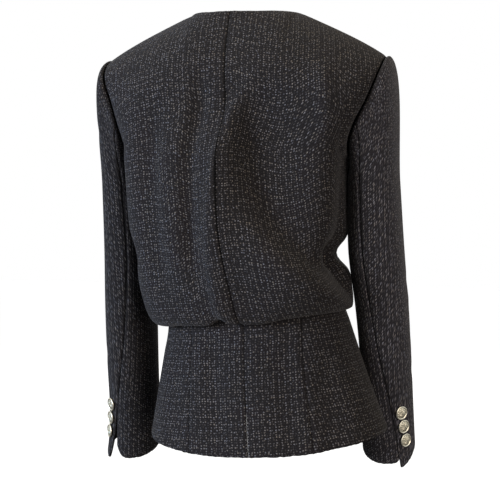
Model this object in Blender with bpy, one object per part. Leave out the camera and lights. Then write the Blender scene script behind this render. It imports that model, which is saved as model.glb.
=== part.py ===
"""Collarless tweed jacket as worn: bloused bodice, flared peplum, two-piece sleeves with buttoned vents.

Lengths are metres. +Z is up, the front faces -Y and the wearer's left is +X.
The origin lies midway between the neck ends of the shoulder seams, where the wearer carries the jacket.
"""

import math
from collections import namedtuple

import bmesh
import bpy
import numpy as np
from mathutils import Vector

WALL = 0.002  # thickness of the tweed
SEAM_GAP = 0.0003  # between pieces that are sewn together
LEFT, RIGHT = 1, -1  # sign of X on the wearer's left and right
BACK, FRONT = 1, -1  # sign of Y behind and before the wearer
SAMPLES = 300  # points along a curve that is measured
SLOPE_STEP = 0.001  # share of a panel over which its slopes are taken
MERGE_DISTANCE = 1e-5

# Neck and shoulders
NECK_HALF_WIDTH = 0.074
NAPE_DEPTH = 0.058
NAPE_DROP = 0.0045
THROAT_DEPTH = 0.084
THROAT_DROP = 0.080
SHOULDER_HALF_WIDTH = 0.1975
SHOULDER_SLOPE = 0.455
SHOULDER_SAG = 0.0010  # fall of the shoulder seam's middle
SHOULDER_END_DROP = 0.0085  # the slope steepens by this much at the sleeve
NECK_SOFTNESS = 0.010  # width over which the neck edge turns into the shoulder seam
ROUND_DROP = 0.110  # height over which the yoke turns from the shoulder to the full depth
THROAT_SHARE = 0.60  # share of the front neck's drop by which that height is less below it
NECK_ROUND, SHOULDER_ROUND = 1.0, 1.8  # how sharply it turns there
THROAT_SWELL, SHOULDER_SWELL = 1.15, 2.0  # how soon it fills out below the front neck and elsewhere
NECK_CURVE = 0.75  # 0.5 is an ellipse, more a curve that meets the shoulder at an angle
NECK_COLUMN = 0.40  # share of a panel's columns that end on the neck

# Bodice rings, upwards from the waist seam. The corners say how square the ring is behind and before.
# Sway moves a ring to the wearer's left and drift only its centre back; lean lifts its right end, and
# droop is the share of the blouse's overhang that it takes.
Ring = namedtuple("Ring", "height half_width back front back_corner front_corner sway drift lean droop")
BODICE_RINGS = (
    Ring(-0.419, 0.124, 0.098, 0.096, 2.2, 2.1, -0.012, -0.005, 0.100, 0.0),
    Ring(-0.425, 0.136, 0.110, 0.107, 2.3, 2.1, -0.012, -0.007, 0.100, 1.0),
    Ring(-0.413, 0.146, 0.121, 0.116, 2.4, 2.1, -0.007, -0.008, 0.085, 0.8),
    Ring(-0.378, 0.151, 0.127, 0.123, 2.7, 2.1, -0.002, -0.007, 0.050, 0.3),
    Ring(-0.305, 0.154, 0.126, 0.127, 3.3, 2.2, 0.005, -0.002, 0.015, 0.0),
    Ring(-0.207, 0.156, 0.121, 0.127, 4.2, 2.4, 0.007, 0.0, 0.0, 0.0),
    Ring(-0.140, 0.173, 0.117, 0.114, 3.8, 2.6, 0.002, 0.0, -0.006, 0.0),
    Ring(-0.070, 0.196, 0.108, 0.096, 2.8, 2.7, 0.0, 0.006, -0.012, 0.0),
    Ring(0.020, 0.200, 0.090, 0.075, 2.7, 2.7, 0.0, 0.012, -0.012, 0.0),
)
RIGHT_SQUARENESS = 1.6  # how much squarer the right half of the back is, above the waist
UNDERARM_ROW = 5
FIRST_RISING_ROW = 2
BACK_OVERHANG, SIDE_OVERHANG = 0.006, 0.004  # how far the blouse falls below the waist seam

# Gathers of the blouse's lower edge: x seen from behind, half width, and how much lower it hangs there
Gather = namedtuple("Gather", "x width drop")
GATHERS = (
    Gather(0.028, 0.010, -0.008),
    Gather(-0.024, 0.020, 0.003),
    Gather(-0.090, 0.022, -0.002),
    Gather(0.080, 0.020, -0.001),
)

# Peplum rings, downwards from the waist seam, which gives the first
PEPLUM_RINGS = (
    Ring(-0.445, 0.130, 0.102, 0.099, 2.2, 2.0, -0.016, -0.005, 0.095, 0.0),
    Ring(-0.475, 0.138, 0.111, 0.106, 2.25, 2.0, -0.019, -0.004, 0.085, 0.0),
    Ring(-0.532, 0.153, 0.126, 0.117, 2.3, 1.95, -0.026, -0.003, 0.065, 0.0),
    Ring(-0.589, 0.169, 0.140, 0.126, 2.35, 1.9, -0.034, -0.002, 0.045, 0.0),
)
HEM_BACK_DROP = 0.015  # the hem is this much lower at the back
WAIST_INSET = 0.0003  # the peplum starts this far inside the blouse
PEPLUM_BACK_SEAM = (37.0, 27.0)  # degrees from centre back, at the waist and at the hem
PEPLUM_FRONT_SEAM = (112.0, 116.0)
LEAST_ANGLE = 0.01  # kept from the centre lines, so that a point's side is always known

# Sleeve rings, downwards from below the armhole. The corner says how square a ring is, tilt drops its
# back, in degrees, and seam is the back seam's angle round it from its outer side. Give is how much
# flatter the left sleeve lies on the body, which sways towards it.
Arm = namedtuple("Arm", "height out forward half_width half_depth corner tilt seam give")
ARM_RINGS = (
    Arm(-0.240, 0.1790, 0.014, 0.0342, 0.064, 2.6, 5.0, 105.0, 0.0120),
    Arm(-0.330, 0.1800, 0.028, 0.0377, 0.059, 2.6, 9.0, 102.0, 0.0110),
    Arm(-0.415, 0.1868, 0.041, 0.0365, 0.055, 2.4, 10.0, 99.0, 0.0040),
    Arm(-0.495, 0.1910, 0.053, 0.0360, 0.050, 2.2, 12.0, 88.0, 0.0),
    Arm(-0.560, 0.1920, 0.063, 0.0370, 0.046, 2.0, 15.0, 70.0, 0.0),
    Arm(-0.635, 0.1935, 0.0735, 0.0380, 0.043, 2.0, 24.0, 57.0, 0.0),
)
ARM_RAISE = 0.0040  # of the right arm, and fall of the left one, at the cuff
ARMHOLE_SEAM = 112.0  # where the back seam meets the armhole
INNER_SEAM = 235.0  # the other seam, before the inner arm
CAP_PULL, CAP_END_PULL = 0.38, 0.95  # how far the cap runs on from the armhole and into the arm
CAP_STAND = 0.0010  # kept between the cap and the armhole that it is set in
CAP_LIFT, UNDERARM_LIFT = 0.20, 1.40  # how much it first lifts away from the armhole's centre
CAP_END_STEP = 0.1  # rows below the cap that give the direction in which it ends
ARM_CLEARANCE = 0.0012  # kept between the bodice or peplum and the sleeve that presses on it
PRESS_SOFTNESS = 0.004
PRESS_REACH = 1.35  # breadth of the press beside the sleeve's own depth
PRESS_CORNER = 2.4  # how square it is
PRESS_FADE = 0.030  # height below the underarm over which it sets in

# Cuff vent and its buttons
VENT_LENGTH = 0.076
UPPER_OPENING = {LEFT: 0.005, RIGHT: 0.0}  # how far the edges stand back from the seam at the hem
UNDER_OPENING = {LEFT: 0.001, RIGHT: 0.0}
OPENING_WIDTH = 0.050  # width beside the vent that gives way to this
VENT_FLARE = {LEFT: 0.010, RIGHT: 0.0}  # how far the upper edge stands off the wrist at the hem
UPPER_CORNER = {LEFT: 0.007, RIGHT: 0.004}  # radii of the corners at the vent
UNDER_CORNER = {LEFT: 0.021, RIGHT: 0.006}
TONGUE_DROP = {LEFT: 0.0055, RIGHT: 0.0090}  # the upper sleeve's hem falls this much towards the vent
TONGUE_WIDTH = 0.045
HEM_FADE = 5  # power with which the hem's outline fades upwards
VENT_ROUND = 0.95  # how much of a quarter circle the corner is
BUTTON_DIAMETER = 0.0192
BUTTON_SPACING = 0.0204
BUTTON_SETBACK = 0.014  # from the back seam's line
BUTTON_RISE = 0.0385  # lowest button above the hem
BUTTON_COUNT = 3
BUTTON_STEPS = 24
# Half section of a button from its back to its domed face: share of the radius, and height
BUTTON_PROFILE = (
    (0.0, 0.0),
    (0.55, 0.0),
    (0.92, 0.0010),
    (1.0, 0.0021),
    (0.93, 0.0030),
    (0.80, 0.0026),
    (0.45, 0.0037),
    (0.0, 0.0042),
)

# Depth of the armhole's edge, as a share of the bodice's depth there
ARMHOLE_DEPTH, SHOULDER_END_DEPTH = 0.58, 0.90
ARMHOLE_TURN = 0.40  # share of its height over which the armhole turns up from the underarm

# Folds, as a line through points (x, z) with x towards the wearer's left, and the half widths on both
# sides of it. Ridges have a positive depth and troughs a negative one. Power 2 gives a soft bell across
# the fold and 1 a crease.
Point = namedtuple("Point", "x height")
Fold = namedtuple("Fold", "line left_width right_width power depth")
BACK_FOLDS = (
    Fold(
        ((-0.036, -0.085), (-0.040, -0.185), (-0.068, -0.272),
         (-0.140, -0.362), (-0.210, -0.438), (-0.270, -0.500)),
        0.028, 0.075, 1.3, -0.026,
    ),
    Fold(
        ((-0.020, -0.120), (-0.010, -0.205), (-0.031, -0.302), (-0.103, -0.392), (-0.170, -0.450)),
        0.075, 0.034, 2.0, 0.021,
    ),
    Fold(
        ((-0.044, -0.055), (-0.033, -0.107), (-0.013, -0.146),
         (-0.004, -0.185), (0.009, -0.280), (0.029, -0.500)),
        0.009, 0.022, 2.0, 0.011,
    ),
    Fold(((0.034, -0.065), (0.037, -0.200), (0.045, -0.400)), 0.012, 0.012, 2.0, -0.010),
    Fold(((0.068, -0.120), (0.072, -0.260), (0.070, -0.430)), 0.020, 0.020, 2.0, 0.003),
    Fold(((0.100, -0.110), (0.099, -0.260), (0.095, -0.420)), 0.018, 0.018, 2.0, -0.009),
    Fold(((-0.120, -0.060), (-0.132, -0.120), (-0.140, -0.200)), 0.014, 0.014, 2.0, 0.005),
)
FRONT_FOLDS = (
    Fold(((0.118, -0.110), (0.088, -0.240), (0.052, -0.420)), 0.026, 0.026, 2.0, -0.008),
    Fold(((0.060, -0.160), (0.048, -0.290), (0.026, -0.430)), 0.016, 0.016, 2.0, 0.005),
    Fold(((-0.030, -0.150), (-0.034, -0.270), (-0.042, -0.420)), 0.014, 0.014, 2.0, -0.005),
    Fold(((-0.085, -0.170), (-0.078, -0.280), (-0.068, -0.440)), 0.020, 0.020, 2.0, 0.005),
    Fold(((-0.128, -0.100), (-0.112, -0.200), (-0.098, -0.340)), 0.018, 0.018, 2.0, -0.004),
)
PEPLUM_FOLDS = (
    Fold(((0.034, -0.435), (0.038, -0.500), (0.040, -0.620)), 0.014, 0.014, 2.0, -0.004),
    Fold(((-0.050, -0.445), (-0.056, -0.500), (-0.064, -0.640)), 0.018, 0.018, 2.0, -0.004),
    Fold(((-0.098, -0.470), (-0.106, -0.530), (-0.118, -0.660)), 0.020, 0.020, 2.0, -0.005),
    Fold(((0.096, -0.440), (0.102, -0.500), (0.110, -0.630)), 0.018, 0.018, 2.0, -0.003),
)
FOLD_EDGE = 0.2  # share of a fold's half width over which its top or bottom is rounded
FOLD_STEP = 0.002  # height over which the slant of its line is taken
FOLD_MARGIN = 0.14  # share of a panel's width over which folds die away at the side seam
FOLD_TAPER = 0.28  # share of a fold's length over which each end dies away
WAIST_CALM, TOP_CALM = 0.25, 0.33  # rise over which the bodice's folds set in and die away again
PEPLUM_CALM, SIDE_CALM = 0.33, 0.25  # fall and cosine over which the peplum's folds set in

# Dents in the sides: degrees from centre back towards the left, height, the spread to lower and to
# higher angles, that in height, and depth
Dent = namedtuple("Dent", "angle height low_spread high_spread height_spread depth")
DENTS = (
    Dent(-90.0, -0.343, 40.0, 24.0, 0.021, 0.029),
    Dent(90.0, -0.335, 30.0, 30.0, 0.022, 0.010),
    Dent(150.0, -0.360, 22.0, 22.0, 0.050, 0.004),
    Dent(-148.0, -0.345, 20.0, 20.0, 0.055, 0.004),
)

# Rows and columns of the walls
BODICE_ROWS = np.concatenate([
    np.linspace(0.0, 0.5, 8),
    np.linspace(0.55, 0.92, 9),
    [0.997, 1.02, 1.06, 1.12],
    np.linspace(1.20, 2.0, 9),
])
BACK_COLUMNS = np.append(np.linspace(0, 0.95, 20)[:-1], [0.935, 0.975, 1.0])
FRONT_COLUMNS = np.append(np.linspace(0, 0.9, 15), [0.96, 1.0])
PEPLUM_ROWS = np.linspace(0, 1, 8)
PEPLUM_COLUMN_ANGLE = 5.5  # degrees, about
SLEEVE_ROWS = np.concatenate([
    [0.0, 0.06, 0.14, 0.25, 0.40, 0.58, 0.78],
    np.linspace(1.0, 1.75, 10),
    np.linspace(1.80, 2.0, 5),
])
UPPER_COLUMNS = np.array([0, 0.12, 0.24, 0.36, 0.48, 0.60, 0.71, 0.81, 0.89, 0.94, 0.975, 1.0])
UNDER_COLUMNS = np.array([0, 0.03, 0.07, 0.13, 0.22, 0.34, 0.47, 0.60, 0.73, 0.87, 1.0])
LEAST_SINE = 0.3  # of the angle between rows and columns, where edges are drawn in

TWEED = ("tweed", (0.030, 0.029, 0.032, 1.0), 0.95, 0.0)
SILVER = ("button_metal", (0.60, 0.56, 0.47, 1.0), 0.32, 1.0)


def blend(low, high, share):
    return low + (high - low) * share


def ease(share):
    """0 to 1 with soft ends."""
    share = np.clip(share, 0.0, 1.0)
    return share * share * (3 - 2 * share)


def hermite(start, start_pull, end, end_pull, share):
    """Cubic from start to end, leaving and arriving along the two pulls."""
    square, cube = share**2, share**3
    return (
        start * (2 * cube - 3 * square + 1)
        + start_pull * (cube - 2 * square + share)
        + end * (3 * square - 2 * cube)
        + end_pull * (cube - square)
    )


def along(rows, position):
    """The columns of a table at fractional rows, on a smooth curve through them."""
    table = np.array(rows)
    slopes = np.gradient(table, axis=0)
    position = np.clip(position, 0, len(table) - 1)
    first = np.minimum(np.floor(position).astype(int), len(table) - 2)
    share = (position - first)[..., None]
    values = hermite(table[first], slopes[first], table[first + 1], slopes[first + 1], share)
    return type(rows[0])(*np.moveaxis(values, -1, 0))


def row_at_height(rows, height, first=0):
    """The fractional row of a table whose heights run one way from the row called first."""
    positions = np.linspace(first, len(rows) - 1, SAMPLES)
    heights = along(rows, positions).height
    order = np.argsort(heights)
    return np.interp(height, heights[order], positions[order])


def even_angles(across, ring):
    """Angles from 0 to 90 degrees that divide a ring's quarter into even lengths."""
    angles = np.linspace(0, math.pi / 2, SAMPLES)
    power = 2 / ring.back_corner
    x = ring.half_width * np.sin(angles) ** power
    y = ring.back * np.cos(angles) ** power
    lengths = np.concatenate([[0], np.cumsum(np.hypot(np.diff(x), np.diff(y)))])
    return np.interp(across, lengths / lengths[-1], angles)


def neck_drop(face, x):
    """Height of the neck edge from the shoulder seam's neck end."""
    drop = NAPE_DROP if face == BACK else THROAT_DROP
    neck_share = np.clip(x / NECK_HALF_WIDTH, 0, 1)
    return -drop * (1 - neck_share**2) ** NECK_CURVE


def top_height(face, x):
    """Height of the neck edge, and of the shoulder seam beyond it."""
    beyond = x - NECK_HALF_WIDTH
    run = np.clip(beyond / (SHOULDER_HALF_WIDTH - NECK_HALF_WIDTH), 0, 1)
    slope = SHOULDER_SLOPE * (beyond + np.hypot(beyond, NECK_SOFTNESS)) / 2
    return neck_drop(face, x) - slope - SHOULDER_END_DROP * run**4 - 4 * SHOULDER_SAG * run * (1 - run)


def top_depth(face, x):
    """Depth of the neck edge before or behind the shoulder seam."""
    depth = NAPE_DEPTH if face == BACK else THROAT_DEPTH
    return depth * (1 - np.clip(x / NECK_HALF_WIDTH, 0, 1) ** 2) ** NECK_CURVE


def shoulder_columns(across):
    """X of a panel's columns where they end on the neck edge and the shoulder seam."""
    neck = NECK_HALF_WIDTH * np.sin(np.minimum(across / NECK_COLUMN, 1) * math.pi / 2)
    beyond = np.maximum(across - NECK_COLUMN, 0) / (1 - NECK_COLUMN)
    return neck + (SHOULDER_HALF_WIDTH - NECK_HALF_WIDTH) * beyond


def armhole_depth(yoke):
    """Share of the bodice's depth at which the armhole's edge lies, from the underarm to the shoulder."""
    turned = 1 - np.clip(yoke / ARMHOLE_TURN, 0, 1)
    return blend(ARMHOLE_DEPTH * np.sqrt(1 - turned**2), SHOULDER_END_DEPTH, ease(2 * yoke - 1))


def inner_width(arm, hand):
    """Half width of a sleeve's ring towards the body."""
    return arm.half_width - np.where(hand == LEFT, arm.give, 0.0)


def arm_side(hand, y, height):
    """Distance from the centre line of the sleeve's side towards the body, with its clearance."""
    arm = along(ARM_RINGS, row_at_height(ARM_RINGS, height))
    offset = (y + arm.forward) / (PRESS_REACH * (arm.half_depth + ARM_CLEARANCE))
    return arm.out - (inner_width(arm, hand) + ARM_CLEARANCE) * (1 - np.abs(offset) ** PRESS_CORNER)


def fold_depth(folds, x, z):
    """How far the folds lift the cloth at points whose x runs towards the wearer's left."""
    depth = np.zeros_like(x)
    for fold in folds:
        points = tuple(Point(*pair) for pair in fold.line)
        line = along(points, row_at_height(points, z)).x
        above = along(points, row_at_height(points, z + FOLD_STEP)).x
        aside = (x - line) / np.hypot(1, (above - line) / FOLD_STEP)
        aside = aside / np.where(aside > 0, fold.left_width, fold.right_width)
        share = (z - points[0].height) / (points[-1].height - points[0].height)
        ends = ease(share / FOLD_TAPER) * ease((1 - share) / FOLD_TAPER)
        section = np.exp(FOLD_EDGE**fold.power - (aside**2 + FOLD_EDGE**2) ** (fold.power / 2))
        depth += fold.depth * ends * section
    return depth


def dent_depth(angle, z):
    """How far the dents push the cloth in; angles in radians from centre back towards the left."""
    depth = np.zeros_like(angle)
    for dent in DENTS:
        turn = (np.degrees(angle) - dent.angle + 180) % 360 - 180
        aside = turn / np.where(turn > 0, dent.high_spread, dent.low_spread)
        depth += dent.depth * np.exp(-(aside**2) - ((z - dent.height) / dent.height_spread) ** 2)
    return depth


def gather_drop(x):
    """How much lower the blouse's edge hangs where it is gathered."""
    return sum(gather.drop * np.exp(-(((x - gather.x) / gather.width) ** 2)) for gather in GATHERS)


def settle(ring, hand, x, y, z, lift):
    """Folds, pose and the press of the sleeve on a point of a ring; x is measured from the centre line."""
    across = x / ring.half_width**2
    behind = y / np.where(y > 0, ring.back, ring.front) ** 2
    length = np.hypot(across, behind)
    x = x + lift * across / length
    y = y + lift * behind / length
    side = x + hand * ring.sway
    limit = arm_side(hand, y, z)
    pressed = -PRESS_SOFTNESS * np.logaddexp(-side / PRESS_SOFTNESS, -limit / PRESS_SOFTNESS)
    below = ease((BODICE_RINGS[UNDERARM_ROW].height - z) / PRESS_FADE)
    side = blend(side, np.minimum(side, pressed), below)
    z = z - ring.lean * hand * side
    return np.stack([hand * side, y, z], axis=-1)


def bodice(face, hand, across, rise):
    """A point of the bodice: across runs from the centre line to the side seam and armhole,
    rise from the waist seam (0) past the underarm (1) to the shoulder and neck (2)."""
    underarm = BODICE_RINGS[UNDERARM_ROW]
    angle = even_angles(across, underarm)
    turn = hand * (angle if face == BACK else math.pi - angle)

    ring = along(BODICE_RINGS, np.minimum(rise, 1) * UNDERARM_ROW)
    squarer = blend(1.0, RIGHT_SQUARENESS, ease(rise)) if face == BACK and hand == RIGHT else 1.0
    power = 2 / (squarer * (ring.back_corner if face == BACK else ring.front_corner))
    low_x = ring.half_width * np.sin(angle) ** power
    low_y = (ring.back if face == BACK else ring.front) * np.cos(angle) ** power
    overhang = blend(SIDE_OVERHANG, BACK_OVERHANG, np.cos(angle) ** 2)
    low_z = ring.height - ring.droop * (overhang + gather_drop(face * hand * low_x))

    yoke = np.clip(rise - 1, 0, 1)
    top_x = shoulder_columns(across)
    high_z = blend(underarm.height, top_height(face, top_x), yoke)
    high_ring = along(BODICE_RINGS, row_at_height(BODICE_RINGS, high_z, FIRST_RISING_ROW))
    depth = high_ring.back if face == BACK else high_ring.front
    corner = squarer * (high_ring.back_corner if face == BACK else high_ring.front_corner)
    edge_x = blend(underarm.half_width, SHOULDER_HALF_WIDTH, ease(yoke))
    edge_share = armhole_depth(yoke)
    row_share = blend(edge_share, 1, np.cos(angle) ** (2 / corner))
    low_share = ((1 - row_share**corner) / (1 - edge_share**corner)) ** (1 / corner)
    x_share = blend(low_share, top_x / SHOULDER_HALF_WIDTH, ease(yoke))
    high_x = edge_x * x_share
    full_y = depth * (1 - (1 - edge_share**corner) * x_share**corner) ** (1 / corner)
    top_y = top_depth(face, high_x)
    top_z = top_height(face, high_x)
    round_drop = ROUND_DROP if face == BACK else ROUND_DROP + THROAT_SHARE * neck_drop(face, high_x)
    below_top = np.clip((top_z - high_z) / round_drop, 0, 1)
    if face == BACK:
        outwards = ease(high_x / NECK_HALF_WIDTH)
        swell = SHOULDER_SWELL
    else:
        outwards = ease((high_x - NECK_HALF_WIDTH) / (SHOULDER_HALF_WIDTH - NECK_HALF_WIDTH))
        swell = blend(THROAT_SWELL, SHOULDER_SWELL, outwards)
    roundness = blend(NECK_ROUND, SHOULDER_ROUND, outwards)
    high_y = top_y + (full_y - top_y) * (1 - (1 - below_top) ** swell) ** (1 / roundness)

    high = rise > 1
    x = np.where(high, high_x, low_x)
    y = face * np.where(high, high_y, low_y)
    z = np.where(high, high_z, low_z)
    ring = Ring(*(np.where(high, upper, lower) for upper, lower in zip(high_ring, ring)))
    folds = BACK_FOLDS if face == BACK else FRONT_FOLDS
    lift = fold_depth(folds, hand * x, z) * ease((1 - across) / FOLD_MARGIN) - dent_depth(turn, z)
    if face == BACK:
        inwards = 1 - np.clip(across / NECK_COLUMN, 0, 1) ** 2
        x = x + hand * ring.drift * blend(np.cos(angle) ** 2, inwards**2, ease(yoke))
    lift = lift * ease(rise / WAIST_CALM) * ease((2 - rise) / TOP_CALM)
    return settle(ring, hand, x, y, z, lift)


def peplum(angle, fall):
    """A point of the peplum: degrees from centre back towards the left, and fall from waist to hem."""
    waist = BODICE_RINGS[0]
    waist = waist._replace(
        height=waist.height - SEAM_GAP,
        half_width=waist.half_width - WAIST_INSET,
        back=waist.back - WAIST_INSET,
        front=waist.front - WAIST_INSET,
    )
    rings = (waist,) + PEPLUM_RINGS
    ring = along(rings, fall * (len(rings) - 1))
    turn = np.radians(angle)
    sine, cosine = np.sin(turn), np.cos(turn)
    power = 2 / np.where(cosine > 0, ring.back_corner, ring.front_corner)
    hand = np.where(sine < 0, RIGHT, LEFT)
    x = ring.half_width * np.abs(sine) ** power
    y = np.where(cosine > 0, ring.back, -ring.front) * np.abs(cosine) ** power
    behind = np.maximum(cosine, 0) ** 2
    x = x + hand * ring.drift * behind
    z = ring.height - HEM_BACK_DROP * fall**2 * behind
    lift = fold_depth(PEPLUM_FOLDS, hand * x, z) * ease(cosine / SIDE_CALM) * ease(fall / PEPLUM_CALM)
    return settle(ring, hand, x, y, z, lift)


def armhole(hand, angle):
    """A point of the armhole seam: 0 degrees at the shoulder, 90 behind, 180 under the arm."""
    samples = 1 - np.linspace(1, 0, SAMPLES) ** 3
    turn = np.mod(angle, 360.0)
    points = {}
    for face in (BACK, FRONT):
        curve = bodice(face, hand, np.ones_like(samples), 2 - samples)
        steps = np.linalg.norm(np.diff(curve, axis=0), axis=1)
        lengths = np.concatenate([[0], np.cumsum(steps)])
        share = (turn if face == BACK else 360 - turn) / 180 * lengths[-1]
        points[face] = np.stack([np.interp(share, lengths, curve[:, i]) for i in range(3)], axis=-1)
    return np.where((turn <= 180)[..., None], points[BACK], points[FRONT])


def arm_ring(hand, angle, position):
    """A point of the sleeve below its cap, at a fractional row of its rings."""
    arm = along(ARM_RINGS, position)
    bend = np.radians(arm.tilt)
    turn = np.radians(angle)
    sine, cosine = np.sin(turn), np.cos(turn)
    width = np.where(cosine > 0, arm.half_width, inner_width(arm, hand))
    side = width * np.sign(cosine) * np.abs(cosine) ** (2 / arm.corner)
    rear = arm.half_depth * np.sign(sine) * np.abs(sine) ** (2 / arm.corner)
    x = hand * (arm.out + side)
    y = -arm.forward + rear * np.cos(bend)
    z = arm.height - rear * np.sin(bend) - hand * ARM_RAISE * (position / (len(ARM_RINGS) - 1)) ** 2
    return np.stack([x, y, z], axis=-1)


def sleeve(hand, angle, reach, flare=0.0):
    """A point of the sleeve: degrees round it from the outer side towards the back, and reach from
    the armhole (0) past the end of the cap (1) to the hem (2). Flare moves it away from the wrist."""
    last = len(ARM_RINGS) - 1
    turn = np.radians(angle)
    low = arm_ring(hand, angle, np.clip(reach - 1, 0, 1) * last)
    low = low + np.stack([hand * flare * np.cos(turn), flare * np.sin(turn), np.zeros_like(turn)], axis=-1)
    end = arm_ring(hand, angle, np.zeros_like(reach))
    end_pull = arm_ring(hand, angle, np.full_like(reach, CAP_END_STEP)) - end
    end_pull /= np.linalg.norm(end_pull, axis=-1, keepdims=True)
    start = armhole(hand, angle)
    middle = (armhole(hand, np.zeros(1)) + armhole(hand, np.full(1, 180.0))) / 2
    away = start - middle
    away[..., 0] = 0
    away /= np.linalg.norm(away, axis=-1, keepdims=True)
    lift = blend(CAP_LIFT, UNDERARM_LIFT, np.sin(turn / 2) ** 4)[..., None]
    start_pull = np.array([hand, 0.0, 0.0]) + lift * away
    start_pull /= np.linalg.norm(start_pull, axis=-1, keepdims=True)
    start = start + CAP_STAND * (away + np.array([hand, 0.0, 0.0]))
    span = np.linalg.norm(end - start, axis=-1, keepdims=True)
    share = np.clip(reach, 0, 1)[..., None]
    cap = hermite(start, CAP_PULL * span * start_pull, end, CAP_END_PULL * span * end_pull, share)
    return np.where((reach > 1)[..., None], low, cap)


def above_hem(reach):
    """Length of the sleeve's middle line from a point below the cap down to the hem."""
    rings = along(ARM_RINGS, np.linspace(0, len(ARM_RINGS) - 1, SAMPLES))
    steps = np.hypot(np.diff(rings.height), np.diff(rings.forward))
    left = np.concatenate([np.cumsum(steps[::-1])[::-1], [0]])
    return np.interp(reach, np.linspace(1, 2, SAMPLES), left)


def reach_above_hem(length):
    """The reach at which the sleeve's middle line is this far above the hem."""
    reaches = np.linspace(2, 1, SAMPLES)
    return np.interp(length, above_hem(reaches), reaches)


def seam_angle(reach):
    """Angle of the back seam round the sleeve."""
    low = along(ARM_RINGS, np.clip(reach - 1, 0, 1) * (len(ARM_RINGS) - 1)).seam
    return np.where(reach > 1, low, blend(ARMHOLE_SEAM, ARM_RINGS[0].seam, np.clip(reach, 0, 1)))


def vent_flare(hand, from_vent, reach):
    """How far the upper sleeve stands off the wrist beside its vent."""
    down = np.clip(1 - above_hem(reach) / VENT_LENGTH, 0, 1)
    return VENT_FLARE[hand] * down**2 * np.clip(1 - from_vent / OPENING_WIDTH, 0, 1)


def sleeve_panel(hand, upper, across, reach):
    """A point of the upper or under sleeve; the vent's edge is where across is 1 and 0."""
    cuff = ARM_RINGS[-1]
    girth = 2 * math.pi * math.sqrt((cuff.half_width**2 + cuff.half_depth**2) / 2)
    under_share = (INNER_SEAM - cuff.seam) / 360
    from_vent = girth * ((1 - under_share) * (1 - across) if upper else under_share * across)
    radius = (UPPER_CORNER if upper else UNDER_CORNER)[hand]
    corner = np.clip(1 - from_vent / radius, 0, 1)
    cut = radius * (1 - np.sqrt(1 - (VENT_ROUND * corner) ** 2))
    cut = cut + TONGUE_DROP[hand] * (ease(from_vent / TONGUE_WIDTH) if upper else 1)
    reach = reach - (2 - reach_above_hem(cut)) * np.clip(reach - 1, 0, 1) ** HEM_FADE
    start, end = (INNER_SEAM - 360, seam_angle(reach)) if upper else (seam_angle(reach), INNER_SEAM)
    opening = (UPPER_OPENING if upper else UNDER_OPENING)[hand]
    opening = opening * np.clip(1 - above_hem(reach) / VENT_LENGTH, 0, 1)
    shift = opening / girth * 360 * np.clip(1 - from_vent / OPENING_WIDTH, 0, 1)
    angle = blend(start, end, across) + (-shift if upper else shift)
    return sleeve(hand, angle, reach, vent_flare(hand, from_vent, reach) if upper else 0.0)


def vent_point(hand, from_seam, rise):
    """A point of the upper sleeve at a distance from its back seam's line and a rise above its hem."""
    cuff = ARM_RINGS[-1]
    radius = math.sqrt((cuff.half_width**2 + cuff.half_depth**2) / 2)
    opening = UPPER_OPENING[hand] * max(1 - rise / VENT_LENGTH, 0)
    from_vent = (from_seam - opening) / (1 - opening / OPENING_WIDTH)
    reach = reach_above_hem(np.full(1, rise))
    angle = seam_angle(reach) - math.degrees(from_seam / radius)
    return sleeve(hand, angle, reach, vent_flare(hand, from_vent, reach))[0]


def derivative(surface, u, v, du, dv):
    """Change of a surface along one direction, from points that stay within the grid's limits."""
    u0, u1 = np.clip([u - du, u + du], u.min(), u.max())
    v0, v1 = np.clip([v - dv, v + dv], v.min(), v.max())
    run = np.abs(u1 - u0) + np.abs(v1 - v0)
    return (surface(u1, v1) - surface(u0, v0)) / run[..., None]


def wall_points(surface, columns, rows, inside, shoulder):
    """Outer and inner points over a grid. Its edges are drawn in by half the seam gap, and the inner
    points lie one wall from the outer ones towards the point called inside. The last row of columns
    from the share called shoulder is a shoulder seam, whose edge faces straight across it."""
    u, v = np.meshgrid(columns, rows, indexing="ij")
    du, dv = SLOPE_STEP * (columns[-1] - columns[0]), SLOPE_STEP * (rows[-1] - rows[0])
    u_slope, v_slope = derivative(surface, u, v, du, 0), derivative(surface, u, v, 0, dv)
    u_length, v_length = np.linalg.norm(u_slope, axis=-1), np.linalg.norm(v_slope, axis=-1)
    sine = np.linalg.norm(np.cross(u_slope, v_slope), axis=-1) / (u_length * v_length)
    u_speed, v_speed = u_length * np.maximum(sine, LEAST_SINE), v_length * np.maximum(sine, LEAST_SINE)
    u[0] += SEAM_GAP / 2 / u_speed[0]
    u[-1] -= SEAM_GAP / 2 / u_speed[-1]
    v[:, 0] += SEAM_GAP / 2 / v_speed[:, 0]
    v[:, -1] -= SEAM_GAP / 2 / v_speed[:, -1]
    outer = surface(u, v)
    normal = np.cross(derivative(surface, u, v, du, 0), derivative(surface, u, v, 0, dv))
    normal[columns >= shoulder, -1, 1] = 0
    normal /= np.linalg.norm(normal, axis=-1, keepdims=True)
    centre = outer.shape[0] // 2, outer.shape[1] // 2
    if np.dot(normal[centre], outer[centre] - inside) < 0:
        normal = -normal
    return outer, outer - WALL * normal


def material(name, colour, roughness, metallic):
    shade = bpy.data.materials.new(name)
    shade.use_nodes = True
    shader = shade.node_tree.nodes["Principled BSDF"]
    shader.inputs["Base Color"].default_value = colour
    shader.inputs["Roughness"].default_value = roughness
    shader.inputs["Metallic"].default_value = metallic
    return shade


def add_object(name, bm, shade, collection):
    mesh = bpy.data.meshes.new(name)
    bm.to_mesh(mesh)
    bm.free()
    mesh.materials.append(shade)
    piece = bpy.data.objects.new(name, mesh)
    collection.objects.link(piece)
    return piece


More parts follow.
